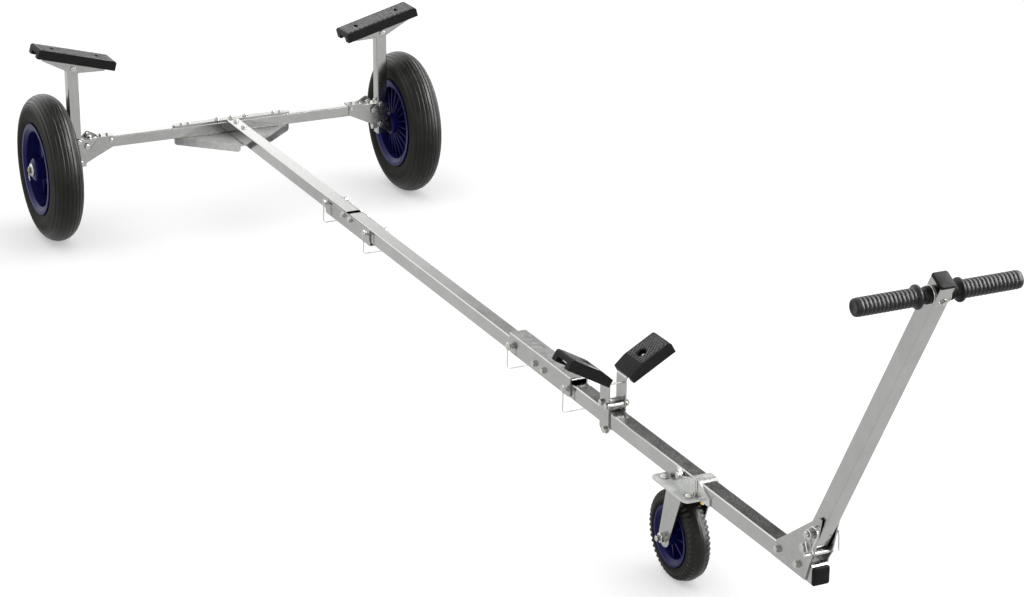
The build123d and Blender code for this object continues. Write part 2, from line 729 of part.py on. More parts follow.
foot_half = half_bar + sheet
post_half = handle_post_width / 2 + seat_gap
with BuildPart() as handle_pivot:
    with BuildSketch(across(handle_pivot_x, handle_pivot_z)):
        Circle(handle_pivot_radius)
    extrude(amount=foot_half, both=True)
    for side in (1, -1):
        with BuildSketch(across(handle_pivot_x, handle_pivot_z, side * foot_half)):
            RegularPolygon(handle_pivot_head, 6)
        extrude(amount=side * bolt_head)
        with BuildSketch(across(handle_pivot_x, handle_pivot_z, side * post_half)):
            Circle(handle_pivot_head)
        extrude(amount=side * (half_bar - post_half))
finish(handle_pivot, "handle_pivot")

with BuildPart() as handle_stop:
    with BuildSketch(across(*stop_at)):
        Circle(stop_radius)
    extrude(amount=foot_half + stop_end, both=True)
finish(handle_stop, "handle_stop")
finish(make_pin_ends([lock_at], foot_half, sheet), "handle_lock_pins")

# ---- Handle, drawn along its leaning post ----
leaning = Plane(origin=(handle_pivot_x, 0, handle_pivot_z), x_dir=(0, 1, 0),
                z_dir=(lean_up[0], 0, lean_up[1]))
side_view = Plane(origin=(handle_pivot_x, 0, handle_pivot_z), x_dir=(lean_up[0], 0, lean_up[1]),
                  z_dir=(0, 1, 0))
with BuildPart() as handle_post:
    with BuildSketch(leaning.offset(-handle_post_depth / 2)):
        tube_section(handle_post_width, handle_post_depth, handle_wall)
    extrude(amount=handle_post_depth / 2 + handle_reach + handle_top)
    # The foot of the post is rounded about its pivot, so that it turns between the plates.
    with BuildSketch(side_view):
        with Locations(((handle_reach + handle_top) / 2, 0)):
            Rectangle(handle_reach + handle_top, handle_post_depth)
        Circle(handle_post_depth / 2)
    extrude(amount=handle_post_width, both=True, mode=Mode.INTERSECT)
    with BuildSketch(side_view):
        Circle(handle_pivot_radius + running_gap)
        with Locations((handle_reach, 0)):
            Circle(handlebar_radius)
        with Locations((lock_rise, 0)):
            Circle(bolt_radius)
    extrude(amount=handle_post_width, both=True, mode=Mode.SUBTRACT)
finish(handle_post, "handle_post")

with BuildPart() as handle_cap:
    with BuildSketch(leaning.offset(handle_reach + handle_top)):
        RectangleRounded(handle_post_width + 2 * cap_overhang, handle_post_depth + 2 * cap_overhang,
                         tube_corner)
    extrude(amount=cap_thickness)
finish(handle_cap, "handle_cap")

bar_x, bar_z = up_post(handle_reach)
with BuildPart() as handle_bar:
    with BuildSketch(across(bar_x, bar_z)):
        Circle(handlebar_radius)
        Circle(handlebar_radius - handlebar_wall, mode=Mode.SUBTRACT)
    extrude(amount=grip_outer - grip_end, both=True)
finish(handle_bar, "handle_bar")

with BuildPart() as grips:
    for side in (1, -1):
        with BuildSketch(across(bar_x, bar_z, side * (grip_inner - collar_width / 2))):
            Circle(collar_radius)
        extrude(amount=side * collar_width)
        with BuildSketch(across(bar_x, bar_z, side * grip_inner)):
            Circle(grip_radius)
        extrude(amount=side * (grip_outer - grip_inner))
        with BuildSketch(across(bar_x, bar_z)):
            Circle(handlebar_radius)
        extrude(amount=side * (grip_outer - grip_end), mode=Mode.SUBTRACT)
finish(grips, "grips")

# ---- Stand the level frame on its wheels, with the origin mid-length on the floor ----
standing = [piece.rotate(axle_line, frame_pitch) for piece in finished]
boxes = [piece.bounding_box() for piece in standing]
middle_x = (min(box.min.X for box in boxes) + max(box.max.X for box in boxes)) / 2
os.makedirs("parts", exist_ok=True)
for level, piece in zip(finished, standing):
    placed = piece.moved(Location((-middle_x, 0, 0)))
    placed.label = level.label
    export_step(placed, f"parts/{level.label}.step")
print(f"{len(finished)} pieces, pitch {frame_pitch:.4f} degrees, middle at x {middle_x:.3f}")
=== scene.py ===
# %% [markdown]
# # A launching trolley for a small dinghy
# The frame of the trolley is already built: tubes, brackets, wheels and joints come from the
# imported model, each at its real place. This lesson dresses it. Each code cell makes one finish
# or one kind of piece, and many of them print what they made.

# %% Load the frame
import json
from math import atan2, cos, hypot, pi, radians, sin, tau

import bmesh
import bpy
import numpy as np
from mathutils import Matrix, Vector


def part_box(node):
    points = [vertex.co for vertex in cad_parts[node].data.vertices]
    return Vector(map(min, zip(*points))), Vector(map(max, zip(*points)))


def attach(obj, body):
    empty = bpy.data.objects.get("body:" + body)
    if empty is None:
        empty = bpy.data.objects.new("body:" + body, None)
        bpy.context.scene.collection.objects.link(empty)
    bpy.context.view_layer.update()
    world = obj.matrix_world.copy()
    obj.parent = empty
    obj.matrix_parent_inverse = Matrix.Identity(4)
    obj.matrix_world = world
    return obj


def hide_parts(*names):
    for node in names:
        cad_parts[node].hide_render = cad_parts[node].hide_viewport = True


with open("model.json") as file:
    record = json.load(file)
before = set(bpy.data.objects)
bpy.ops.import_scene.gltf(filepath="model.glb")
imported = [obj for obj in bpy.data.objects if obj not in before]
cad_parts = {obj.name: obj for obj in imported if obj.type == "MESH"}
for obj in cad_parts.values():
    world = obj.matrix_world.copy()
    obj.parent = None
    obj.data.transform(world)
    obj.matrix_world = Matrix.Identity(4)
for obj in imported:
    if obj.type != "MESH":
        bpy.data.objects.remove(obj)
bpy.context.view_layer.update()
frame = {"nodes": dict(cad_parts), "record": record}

nodes = frame["nodes"]
MM = 0.001

# %% [markdown]
# The trolley slopes down to its small front wheel by half a degree. It is easier to think of it
# level, in millimetres, with x forward from the axle, y to the left and z up from the floor under
# the axle, as a workshop drawing gives it. The slope is measured from two tubes of the drawbar.
# `to_world` turns such level points into the scene's metres. `level_points` reads a node the other
# way round, and `span` and `mid_of` give its box and its middle, so that every added piece takes
# its place from the part it belongs to. Directions, sides and thread sizes have names as well.

# %% Level millimetres and scene metres
def middle(node):
    """The middle of a node's box, in metres."""
    low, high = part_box(node)
    return (Vector(low) + Vector(high)) / 2


axle = (middle("rim_left") + middle("rim_right")) / 2
wheel_radius = axle.z / MM
bar_rear, bar_front = middle("drawbar_rear"), middle("drawbar_front")
slope = atan2(bar_rear.z - bar_front.z, bar_front.x - bar_rear.x)
level_axes = np.array([[cos(slope), 0, -sin(slope)], [0, 1, 0], [sin(slope), 0, cos(slope)]])
level_origin = np.array(axle) - level_axes[2] * axle.z
FORWARD, BACK, ACROSS, UP, DOWN = (1, 0, 0), (-1, 0, 0), (0, 1, 0), (0, 0, 1), (0, 0, -1)
SIDES = ((1, "left"), (-1, "right"))
M6, M8, M10, M12 = 6, 8, 10, 12


def to_world(points):
    """Scene metres = origin + x along the bar + y across + z up, all times a thousandth."""
    return level_origin + np.asarray(points, float) @ level_axes * MM


def level_points(node):
    """A node's vertices in level millimetres, which undoes to_world."""
    mesh = nodes[node].data
    flat = np.empty(len(mesh.vertices) * 3)
    mesh.vertices.foreach_get("co", flat)
    return (flat.reshape(-1, 3) - level_origin) @ level_axes.T / MM


def span(node):
    """The lowest and highest level millimetres of a node's vertices on each axis."""
    level = level_points(node)
    return level.min(axis=0), level.max(axis=0)


def mid_of(node):
    """The middle of a node's span: x, y and z."""
    low, high = span(node)
    return (low + high) / 2


def half_sizes(node):
    """Half a node's length and half its width, along x and y."""
    low, high = span(node)
    return (high[0] - low[0]) / 2, (high[1] - low[1]) / 2


print(f"axle {wheel_radius:.1f} mm up, slope {np.degrees(slope):.3f} degrees")
print("rear drawbar spans", np.round(span("drawbar_rear"), 1).tolist())

# %% [markdown]
# The camera stands in front of the handle, to the trolley's right, and looks down at about
# twenty degrees through a long lens. Its place is given from the axle, so it follows the frame.
# A camera looks along its own -Z with +Y up, and those directions fill its matrix.

# %% Camera
def make_camera(eye, heading, pitch, roll, lens):
    """A camera at eye that looks along a heading, tipped by a pitch, in degrees."""
    h, p, r = radians(heading), radians(pitch), radians(roll)
    look = Vector((cos(h) * cos(p), sin(h) * cos(p), sin(p)))
    right = look.cross(Vector(UP)).normalized()
    up = right.cross(look)
    side = right * cos(r) + up * sin(r)
    top = up * cos(r) - right * sin(r)
    camera = bpy.data.objects.new("camera", bpy.data.cameras.new("camera"))
    camera.matrix_world = Matrix((
        (side.x, top.x, -look.x, eye.x),
        (side.y, top.y, -look.y, eye.y),
        (side.z, top.z, -look.z, eye.z),
        (0, 0, 0, 1),
    ))
    camera.data.sensor_width = 36
    camera.data.lens = lens
    bpy.context.collection.objects.link(camera)
    bpy.context.scene.camera = camera
    return camera


eye_from_axle = Vector((6.889, -2.444, 2.208))
camera = make_camera(axle + eye_from_axle, heading=154.35, pitch=-20.13, roll=0.13, lens=96.0)
print("camera at", [round(v, 3) for v in camera.location])

# %% [markdown]
# Colours are written as sRGB hex values, the way a paint chart gives them, and one function turns
# them to the linear values that shaders expect. One small function adds a node with its settings
# and links, so that each material reads as a short list. A colour ramp's stops count as a setting.

# %% Colour and node helpers
def linear(code):
    """An sRGB hex colour as linear RGBA: each channel undone by the sRGB curve."""
    channels = [int(code[i:i + 2], 16) / 255 for i in (1, 3, 5)]
    lin = [c / 12.92 if c <= 0.04045 else ((c + 0.055) / 1.055) ** 2.4 for c in channels]
    return (*lin, 1.0)


def plug(tree, node, **sockets):
    """Fill a node's inputs: a socket is linked, anything else is set. _0 means input number 0."""
    for name, value in sockets.items():
        key = int(name[1:]) if name[1:].isdigit() else name.replace("_", " ")
        if isinstance(value, bpy.types.NodeSocket):
            tree.links.new(value, node.inputs[key])
        else:
            node.inputs[key].default_value = value


def add_node(tree, kind, settings=None, **sockets):
    """Add one node with its settings and its inputs."""
    node = tree.nodes.new(kind)
    for name, value in (settings or {}).items():
        if name == "stops":
            for _ in value[2:]:
                node.color_ramp.elements.new(1)
            for element, (position, colour) in zip(node.color_ramp.elements, value):
                element.position = position
                element.color = linear(colour) if isinstance(colour, str) else (*[colour] * 3, 1)
        else:
            setattr(node, name, value)
    plug(tree, node, **sockets)
    return node


def new_material(name):
    """A node material with its Principled shader, and the Object coordinates it reads."""
    material = bpy.data.materials.new(name)
    material.use_nodes = True
    tree = material.node_tree
    where = add_node(tree, "ShaderNodeTexCoord").outputs["Object"]
    return material, tree, tree.nodes["Principled BSDF"], where


FLOAT = {"data_type": "FLOAT"}
print("a mid grey #808080 is", round(linear("#808080")[0], 3), "in linear light")

# %% [markdown]
# ## Aluminium tube
# The frame is 35 and 30 mm box tube, drawn through a die and left bare. The die leaves faint lines
# along the tube, and handling leaves a soft haze that dulls the mirror in patches. The lines are
# noise stretched sixty times along the tube. Real ones stand 0.2 mm apart, too fine to show from
# here, so they are drawn 2 mm apart. A bare tube reflects about a third of the light in a clean
# mirror direction, the rest of its brightness being spread too wide to see.

# %% Drawn aluminium tube
def drawn_aluminium(name, axis):
    """Aluminium whose die lines run along one axis (0, 1 or 2)."""
    material, tree, shader, where = new_material(name)
    squeeze = [1.0, 1.0, 1.0]
    squeeze[axis] = 1 / 60
    stretched = add_node(tree, "ShaderNodeMapping", Vector=where, Scale=squeeze).outputs[0]
    lines = add_node(tree, "ShaderNodeTexNoise", Vector=stretched, Scale=1 / (2 * MM), Detail=3.0,
                     Roughness=0.6).outputs[0]
    haze = add_node(tree, "ShaderNodeTexNoise", Vector=where, Scale=1 / (70 * MM), Detail=4.0,
                    Roughness=0.6).outputs[0]
    scuffs = add_node(tree, "ShaderNodeTexNoise", Vector=where, Scale=1 / (6 * MM),
                      Detail=2.0).outputs[0]
    tone = add_node(tree, "ShaderNodeMix", FLOAT, _0=0.35, _2=haze, _3=lines).outputs[0]
    colour = add_node(tree, "ShaderNodeValToRGB", {"stops": [(0.35, "#979896"), (0.65, "#A2A3A0")]},
                      Fac=tone)
    dull = add_node(tree, "ShaderNodeMix", FLOAT, _0=0.5, _2=haze, _3=scuffs).outputs[0]
    rough = add_node(tree, "ShaderNodeMapRange", Value=dull, From_Min=0.35, From_Max=0.7,
                     To_Min=0.11, To_Max=0.19)
    relief = add_node(tree, "ShaderNodeBump", Strength=0.10, Distance=0.05 * MM, Height=lines)
    plug(tree, shader, Metallic=1.0, Base_Color=colour.outputs[0], Roughness=rough.outputs[0],
         Normal=relief.outputs[0])
    return material


tube_finish = [drawn_aluminium(f"drawn aluminium tube lined along {'xyz'[i]}", i) for i in range(3)]
print("made", [m.name for m in tube_finish])

# %% [markdown]
# ## Galvanised steel sheet
# Brackets, channels and straps are folded from hot-dip galvanised sheet. Zinc freezes in spangles
# 5 to 15 mm across, each with a faint tone of its own, which Voronoi cells give. On thin sheet
# they are nearly flat, so the cells only shift the roughness and the tone a little. The castor's
# plate and the gusset take a rougher zinc whose colour is painted paler, a painted reflection of
# the bright light they catch. The castor's strap is paler still.

# %% Galvanised steel sheet
def galvanised_sheet(name, dark, light, low, high):
    """Zinc in spangles of 9 mm: two close tones, and a roughness between low and high."""
    material, tree, shader, where = new_material(name)
    cells = add_node(tree, "ShaderNodeTexVoronoi", Vector=where,
                     Scale=1 / (9 * MM)).outputs["Color"]
    spangle = add_node(tree, "ShaderNodeSeparateColor", Color=cells).outputs[0]
    haze = add_node(tree, "ShaderNodeTexNoise", Vector=where, Scale=1 / (35 * MM),
                    Detail=4.0).outputs[0]
    tone = add_node(tree, "ShaderNodeMix", FLOAT, _0=0.6, _2=spangle, _3=haze).outputs[0]
    colour = add_node(tree, "ShaderNodeValToRGB", {"stops": [(0.2, dark), (0.8, light)]}, Fac=tone)
    rough = add_node(tree, "ShaderNodeMapRange", Value=tone, From_Min=0.2, From_Max=0.8,
                     To_Min=low, To_Max=high)
    relief = add_node(tree, "ShaderNodeBump", Strength=0.08, Distance=0.1 * MM, Height=haze)
    plug(tree, shader, Metallic=1.0, Base_Color=colour.outputs[0], Roughness=rough.outputs[0],
         Normal=relief.outputs[0])
    return material


galvanised = galvanised_sheet("hot-dip galvanised steel sheet", "#949593", "#A0A19F", low=0.16,
                              high=0.27)
# This copy's paler colour is a painted reflection; its higher roughness is real.
paler_zinc_painted_reflection = galvanised_sheet("paler hot-dip zinc with painted reflection", "#A9AAA8", "#BEBFBD", low=0.30, high=0.42)
bright_zinc = galvanised_sheet("bright zinc strap", "#B4B5B3", "#C4C5C3", low=0.22, high=0.32)
print("made", [m.name for m in (galvanised, paler_zinc_painted_reflection, bright_zinc)])

# %% [markdown]
# ## Fasteners
# Bolts, nuts, washers and pins are zinc plated and passivated: a bright, clean coat with a trace of
# yellow, smoother than the sheet. The wire clips are spring steel with the same plate. One rod is
# stainless, one nipple brass, and the axle ends are passivated yellow. All five share one recipe.

# %% Plated steel and brass
def bright_metal(name, dark, light, low, high):
    """A plated skin: two close tones and a roughness that wanders between low and high."""
    material, tree, shader, where = new_material(name)
    grain = add_node(tree, "ShaderNodeTexNoise", Vector=where, Scale=1 / (3 * MM),
                     Detail=3.0).outputs[0]
    colour = add_node(tree, "ShaderNodeValToRGB", {"stops": [(0.3, dark), (0.7, light)]}, Fac=grain)
    rough = add_node(tree, "ShaderNodeMapRange", Value=grain, From_Min=0.3, From_Max=0.7,
                     To_Min=low, To_Max=high)
    plug(tree, shader, Metallic=1.0, Base_Color=colour.outputs[0], Roughness=rough.outputs[0])
    return material


plated = bright_metal("zinc-plated steel", "#A3A3A0", "#B8B8B4", low=0.16, high=0.28)
spring_wire = bright_metal("plated spring wire", "#B2B2B0", "#C2C2BF", low=0.16, high=0.26)
stainless = bright_metal("turned stainless steel", "#ACACAA", "#BCBCB9", low=0.14, high=0.24)
passivated = bright_metal("yellow passivated steel", "#6E6A4A", "#858058", low=0.24, high=0.36)
brass = bright_metal("turned brass", "#A8924C", "#BDA65C", low=0.18, high=0.28)
print("made", [m.name for m in (plated, spring_wire, stainless, passivated, brass)])

# %% [markdown]
# ## Rubber and plastic
# Tyre rubber is carbon black in a soft polymer, IOR 1.52. A wax bloom greys it faintly and its
# moulded skin gives a soft sheen. The pads and grips are a duller rubber, and hulls polish the
# tops of the pads' ribs; the ribs' rubber is also coloured a lighter grey, a painted highlight.
# The rims are injection moulded polypropylene, IOR 1.49, dyed navy right through, with a soft
# gloss.

# %% Rubber and plastic
def moulded(name, dark, light, rough, grain_mm, bump, ior, sheen):
    """A moulded skin: two close tones, and a fine grain in its roughness and its relief."""
    material, tree, shader, where = new_material(name)
    bloom = add_node(tree, "ShaderNodeTexNoise", Vector=where, Scale=1 / (45 * MM),
                     Detail=4.0).outputs[0]
    grain = add_node(tree, "ShaderNodeTexNoise", Vector=where, Scale=1 / (grain_mm * MM),
                     Detail=2.0).outputs[0]
    colour = add_node(tree, "ShaderNodeValToRGB", {"stops": [(0.35, dark), (0.65, light)]},
                      Fac=bloom)
    mixed = add_node(tree, "ShaderNodeMix", FLOAT, _0=0.4, _2=bloom, _3=grain).outputs[0]
    matt = add_node(tree, "ShaderNodeMapRange", Value=mixed, From_Min=0.35, From_Max=0.65,
                    To_Min=rough[0], To_Max=rough[1])
    relief = add_node(tree, "ShaderNodeBump", Strength=bump, Distance=0.15 * MM, Height=grain)
    plug(tree, shader, Base_Color=colour.outputs[0], Roughness=matt.outputs[0],
         Normal=relief.outputs[0], IOR=ior, Specular_IOR_Level=sheen)
    return material


pad_rubber = moulded("moulded pad rubber", "#090909", "#0F0F0F", rough=(0.52, 0.64),
                     grain_mm=1.0, bump=0.30, ior=1.52, sheen=0.10)
# The ribs' lighter grey is a painted highlight; their lower roughness and higher sheen are polish.
polished_rubber_painted_highlight = moulded("polished pad rubber with painted highlight", "#222222", "#2D2D2C", rough=(0.24, 0.34),
                      grain_mm=1.0, bump=0.1, ior=1.52, sheen=0.5)
grip_rubber = moulded("soft grip rubber", "#101010", "#171717", rough=(0.34, 0.46),
                      grain_mm=0.9, bump=0.20, ior=1.52, sheen=0.22)
cap_plastic = moulded("black polyethylene", "#0A0A0A", "#101010", rough=(0.40, 0.52),
                      grain_mm=1.0, bump=0.30, ior=1.51, sheen=0.10)
rim_plastic = moulded("navy polypropylene", "#0B0B42", "#12124E", rough=(0.36, 0.46),
                      grain_mm=2.0, bump=0.06, ior=1.49, sheen=0.12)
print("made", [m.name for m in (pad_rubber, polished_rubber_painted_highlight, grip_rubber, cap_plastic, rim_plastic)])

# %% [markdown]
# A tyre has two skins. Its walls keep the mould's fine texture, which hides almost every
# reflection. Its crown is burnished by the ground and shows the room as long soft streaks. The
# distance from the wheel's own axle tells them apart, so each size of tyre gets the finish for its
# own axle.

# %% Tyre rubber
def tyre_rubber_finish(name, node, worn_from, worn_to):
    """A moulded rubber whose roughness falls and sheen rises between two distances in mm."""
    material = moulded(name, "#131310", "#1C1C18", rough=(0.5, 0.6), grain_mm=1.2, bump=0.2,
                       ior=1.52, sheen=0.1)
    tree = material.node_tree
    shader = tree.nodes["Principled BSDF"]
    centre = middle(node)
    where = add_node(tree, "ShaderNodeTexCoord").outputs["Object"]
    from_axle = add_node(tree, "ShaderNodeVectorMath", {"operation": "SUBTRACT"}, _0=where,
                         _1=centre)
    flat = add_node(tree, "ShaderNodeVectorMath", {"operation": "MULTIPLY"},
                    _0=from_axle.outputs[0], _1=(1, 0, 1))
    distance = add_node(tree, "ShaderNodeVectorMath", {"operation": "LENGTH"}, _0=flat.outputs[0])
    worn = add_node(tree, "ShaderNodeMapRange", Value=distance.outputs["Value"],
                    From_Min=worn_from * MM, From_Max=worn_to * MM).outputs[0]
    sheen = add_node(tree, "ShaderNodeMapRange", Value=worn, To_Min=0.05, To_Max=0.17)
    rough = add_node(tree, "ShaderNodeMapRange", Value=worn, To_Min=0.62, To_Max=0.36)
    plug(tree, shader, Specular_IOR_Level=sheen.outputs[0], Roughness=rough.outputs[0])
    return material


tyre_rubber = tyre_rubber_finish("vulcanised tyre rubber", "tyre_left", worn_from=158, worn_to=182)
jockey_rubber = tyre_rubber_finish("vulcanised jockey tyre rubber", "jockey_tyre", worn_from=70,
                                   worn_to=86)
print("made", [m.name for m in (tyre_rubber, jockey_rubber)])

# %% [markdown]
# The frame's own nodes keep their shapes and get these finishes through their record slots. A tube
# takes the aluminium whose lines run its own way. The castor's plate and the gusset take the zinc
# painted paler, a painted reflection, and the castor's saddle the bright one.

# %% Finishes on the frame's own nodes
finish_of_slot = {
    "aluminium_tube": tube_finish[0],
    "galvanised_sheet": galvanised,
    "plated_steel": plated,
    "tyre_rubber": tyre_rubber,
    "rim_plastic": rim_plastic,
    "pad_rubber": pad_rubber,
    "grip_rubber": grip_rubber,
    "cap_plastic": cap_plastic,
}
# The plate and the gusset take the zinc painted paler, a painted reflection.
paler_zinc_of = {"castor_plate": paler_zinc_painted_reflection, "gusset_plate": paler_zinc_painted_reflection, "castor_saddle": bright_zinc}
tube_axis = {"axle_beam": 1, "post_": 2, "handle_bar": 1, "handle_post": 2}
for part in frame["record"]["subparts"]:
    name, slot = part["node"], part["material_slot"]
    finish = finish_of_slot[slot]
    for start, axis in tube_axis.items():
        if name.startswith(start) and slot == "aluminium_tube":
            finish = tube_finish[axis]
    finish = paler_zinc_of.get(name, finish)
    for place in nodes[name].material_slots:
        place.material = finish

# %% [markdown]
# ## Surfaces from arrays
# Every new piece is a grid of points worked out in one go, with u down its rows and v along them.
# `skin` turns such a grid to faces, and `solid` joins grids to one mesh in the scene's metres. It
# merges the points that meet at poles and seams, turns the faces outward, and rides the piece on a
# body.

# %% Grid surfaces to pieces
def skin(points, wrap_u=False, wrap_v=True):
    """A grid of points (rows, columns, 3) with a four-sided face in each of its cells."""
    rows, columns = points.shape[:2]
    i = np.arange(rows if wrap_u else rows - 1)[:, None]
    j = np.arange(columns if wrap_v else columns - 1)[None, :]
    down, right = (i + 1) % rows, (j + 1) % columns
    corners = (i * columns + j, down * columns + j, down * columns + right, i * columns + right)
    faces = np.stack(np.broadcast_arrays(*corners), axis=-1).reshape(-1, 4)
    return points.reshape(-1, 3), faces


def solid(name, body, material, skins, crease=35):
    """One mesh piece from several skins, in world metres, riding on a body."""
    starts = np.cumsum([0] + [len(points) for points, _ in skins[:-1]])
    points = to_world(np.concatenate([points for points, _ in skins]))
    faces = np.concatenate([faces + start for start, (_, faces) in zip(starts, skins)])
    mesh = bpy.data.meshes.new(name)
    mesh.from_pydata(points.tolist(), [], faces.tolist())
    tidy = bmesh.new()
    tidy.from_mesh(mesh)
    bmesh.ops.remove_doubles(tidy, verts=tidy.verts, dist=0.01 * MM)
    bmesh.ops.recalc_face_normals(tidy, faces=tidy.faces)
    tidy.to_mesh(mesh)
    tidy.free()
    mesh.shade_smooth()
    mesh.set_sharp_from_angle(angle=radians(crease))
    mesh.materials.append(material)
    piece = bpy.data.objects.new(name, mesh)
    bpy.context.collection.objects.link(piece)
    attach(piece, body)
    return piece


print("helpers ready: skin, solid")

# %% [markdown]
# Bolts, nuts, washers, bosses and tyres are all turned shapes: a profile of heights and radii
# carried round an axis. A spanner flat cuts the circle back to a hexagon: at angle v the radius is
# the smaller of the profile's own and the flat's distance over cos(v), measured from the nearest
# flat. So one function makes a hex nut with its chamfers as easily as a washer.

# %% Turned shapes
def square_to(axis):
    """Two directions at right angles to an axis and to each other, then the axis, all one long."""
    n = np.array(axis, float) / np.linalg.norm(axis)
    u = np.cross(UP if abs(n[2]) < 0.9 else FORWARD, n)
    u /= np.linalg.norm(u)
    return u, np.cross(n, u), n


def turned(rows, at, axis, steps=24, sides=6, closed=False):
    """Point(row, v) = at + height n + r (u cos v + w sin v), with r cut back by any flat.

    A row is (height, radius) or (height, radius, flat), flat being half the size across flats.
    """
    full = np.array([(*row, 1e9)[:3] for row in rows], float)
    v = np.arange(steps) * tau / steps
    off_flat = (v + pi / sides) % (tau / sides) - pi / sides
    radius = np.minimum(full[:, 1:2], full[:, 2:3] / np.cos(off_flat))
    u, w, n = square_to(axis)
    ring = np.cos(v)[:, None] * u + np.sin(v)[:, None] * w
    points = np.array(at) + full[:, 0, None, None] * n + radius[:, :, None] * ring
    return skin(points, wrap_u=closed)


def bolt_rows(size, grip, head=None, nut=None, tail=3.0):
    """The profile of a through bolt: head below 0, shank to grip, washers, nut and thread end.

    size is the thread's diameter. Standard hexagons are about 1.6 sizes across flats, a head
    0.65 and a nut 0.8 sizes tall, a washer 2 sizes wide and a fifth of a size thick.
    """
    flat, r = 0.81 * size, size / 2
    edge = flat / cos(pi / 6)
    head = 0.65 * size if head is None else head
    nut = 0.8 * size if nut is None else nut
    plate = 0.18 * size
    under, over = -plate, grip + plate
    return [
        (under - head, 0), (under - head, 0.55 * flat), (under - head, 0.93 * flat),
        (under - 0.86 * head, edge, flat), (under, edge, flat), (under, size), (0, size), (0, r),
        (grip, r), (grip, size), (over, size), (over, edge, flat), (over + 0.86 * nut, edge, flat),
        (over + nut, 0.93 * flat), (over + nut, r), (over + nut + tail - 1, r),
        (over + nut + tail, r - 1), (over + nut + tail, 0),
    ]


def through_bolt(at, axis, size, half, **more):
    """A bolt through plates that lie half either side of a point, its head first."""
    start = np.array(at, float) - np.array(axis, float) * half
    return turned(bolt_rows(size, 2 * half, **more), start, axis)


def cap_nut(at, axis, size, height):
    """A head on one face only: a washer 2 sizes wide, a hexagon, and a low dome."""
    flat = 0.81 * size
    edge = flat / cos(pi / 6)
    plate = 0.18 * size
    rows = [(-1, 0), (-1, size), (plate, size), (plate, edge, flat),
            (height * 0.85, edge, flat), (height, 0.9 * flat), (height, 0.5 * size),
            (height + 0.2 * size, 0.4 * size), (height + 0.3 * size, 0)]
    return turned(rows, at, axis)


print("helpers ready: turned, through_bolt, cap_nut")

# %% [markdown]
# Wires, rods and hooks are a circle carried along a path that lies in one plane. The plane's own
# direction gives one side of the circle and its cross product with the path gives the other, so
# the tube never twists. Corners of the path are rounded with short arcs first.

# %% Rods and wires
def rounded(corners, radius, steps=6):
    """A path through corners with each inner corner replaced by an arc of about that radius."""
    corners = np.array(corners, float)
    path = [corners[:1]]
    for before, corner, after in zip(corners[:-2], corners[1:-1], corners[2:]):
        start = corner + (before - corner) * min(1, radius / np.linalg.norm(before - corner))
        end = corner + (after - corner) * min(1, radius / np.linalg.norm(after - corner))
        t = np.linspace(0, 1, steps)[:, None]
        path.append((1 - t) ** 2 * start + 2 * t * (1 - t) * corner + t ** 2 * end)
    return np.concatenate(path + [corners[-1:]])


def rod(path, radius, plane, sides=10, closed=False):
    """Point(row, v) = path + radius (plane cos v + across sin v), across = tangent x plane."""
    path = np.array(path, float)
    if closed:
        tangent = np.roll(path, -1, axis=0) - np.roll(path, 1, axis=0)
    else:
        tangent = np.gradient(path, axis=0)
    tangent /= np.linalg.norm(tangent, axis=1, keepdims=True)
    plane = np.array(plane, float) / np.linalg.norm(plane)
    across = np.cross(tangent, plane)
    v = np.arange(sides) * tau / sides
    ring = np.cos(v)[None, :, None] * plane + np.sin(v)[None, :, None] * across[:, None, :]
    points = path[:, None, :] + radius * ring
    if not closed:
        cap = np.ones((1, sides, 1))
        points = np.concatenate([path[:1, None] * cap, points, path[-1:, None] * cap])
    return skin(points, wrap_u=closed)


def ring_wire(at, axis, radius, wire, steps=32):
    """A closed ring of wire: a rod along a circle round an axis."""
    u, w, n = square_to(axis)
    a = np.arange(steps)[:, None] * tau / steps
    circle = np.array(at) + radius * (np.cos(a) * u + np.sin(a) * w)
    return rod(circle, wire, n, sides=8, closed=True)


print("helpers ready: rounded, rod, ring_wire")

# %% [markdown]
# Plates, caps and straps are an outline carried upward. The outline is a rounded rectangle or a
# row of corners, and at each height it is scaled towards its middle a little, which rounds the
# edges. Scaling is enough for edges a millimetre or two deep.

# %% Plates and caps
def rounded_rectangle(width, height, corner, steps=5):
    """Points round a rectangle whose corners are quarter circles."""
    a = np.linspace(0, pi / 2, steps)
    quarter = np.stack([np.cos(a), np.sin(a)], axis=1) * corner
    turns = [(1, 1, 0), (-1, 1, 1), (-1, -1, 2), (1, -1, 3)]
    middles = [(sx * (width / 2 - corner), sy * (height / 2 - corner)) for sx, sy, _ in turns]
    arcs = [quarter @ np.linalg.matrix_power(np.array([[0, 1], [-1, 0]]), k) for _, _, k in turns]
    return np.concatenate([arc + centre for arc, centre in zip(arcs, middles)])


def lofted(outline, rows, at, u, w):
    """Point(row, k) = at + height n + scale (outline_k), in the plane of u and w; n = u x w."""
    u, w = np.array(u, float), np.array(w, float)
    n = np.cross(u, w)
    flat = outline[:, :1] * u + outline[:, 1:] * w
    height, scale = np.array(rows, float).T[:, :, None, None]
    return skin(np.array(at) + height * n + scale * flat)


def cushion_edge(height, size, radius, steps=5):
    """Heights and scales of a plate whose top edge is a quarter circle of a radius."""
    a = np.linspace(0, pi / 2, steps)
    curve = [(height - radius + radius * sin(t), 1 - radius * (1 - cos(t)) / (size / 2)) for t in a]
    return [(0, 0), (0, 1)] + curve + [(height, 0)]


print("helpers ready: rounded_rectangle, lofted, cushion_edge")

# %% [markdown]
# ## Main tyres
# A launching tyre is a wide, soft balloon with fine grooves round its tread, which let it roll on
# sand without digging in. Its section is a half circle of 44 mm, with walls that curve in to the
# rim's lips, as the frame's plain tyre has. Nine grooves are pressed into the crown as smooth dips
# along the section's own normal, and low rings stand on the walls. Cutting the grooves with a
# boolean would leave ragged edges, and a displaced grid gives them soft shoulders as a mould does.

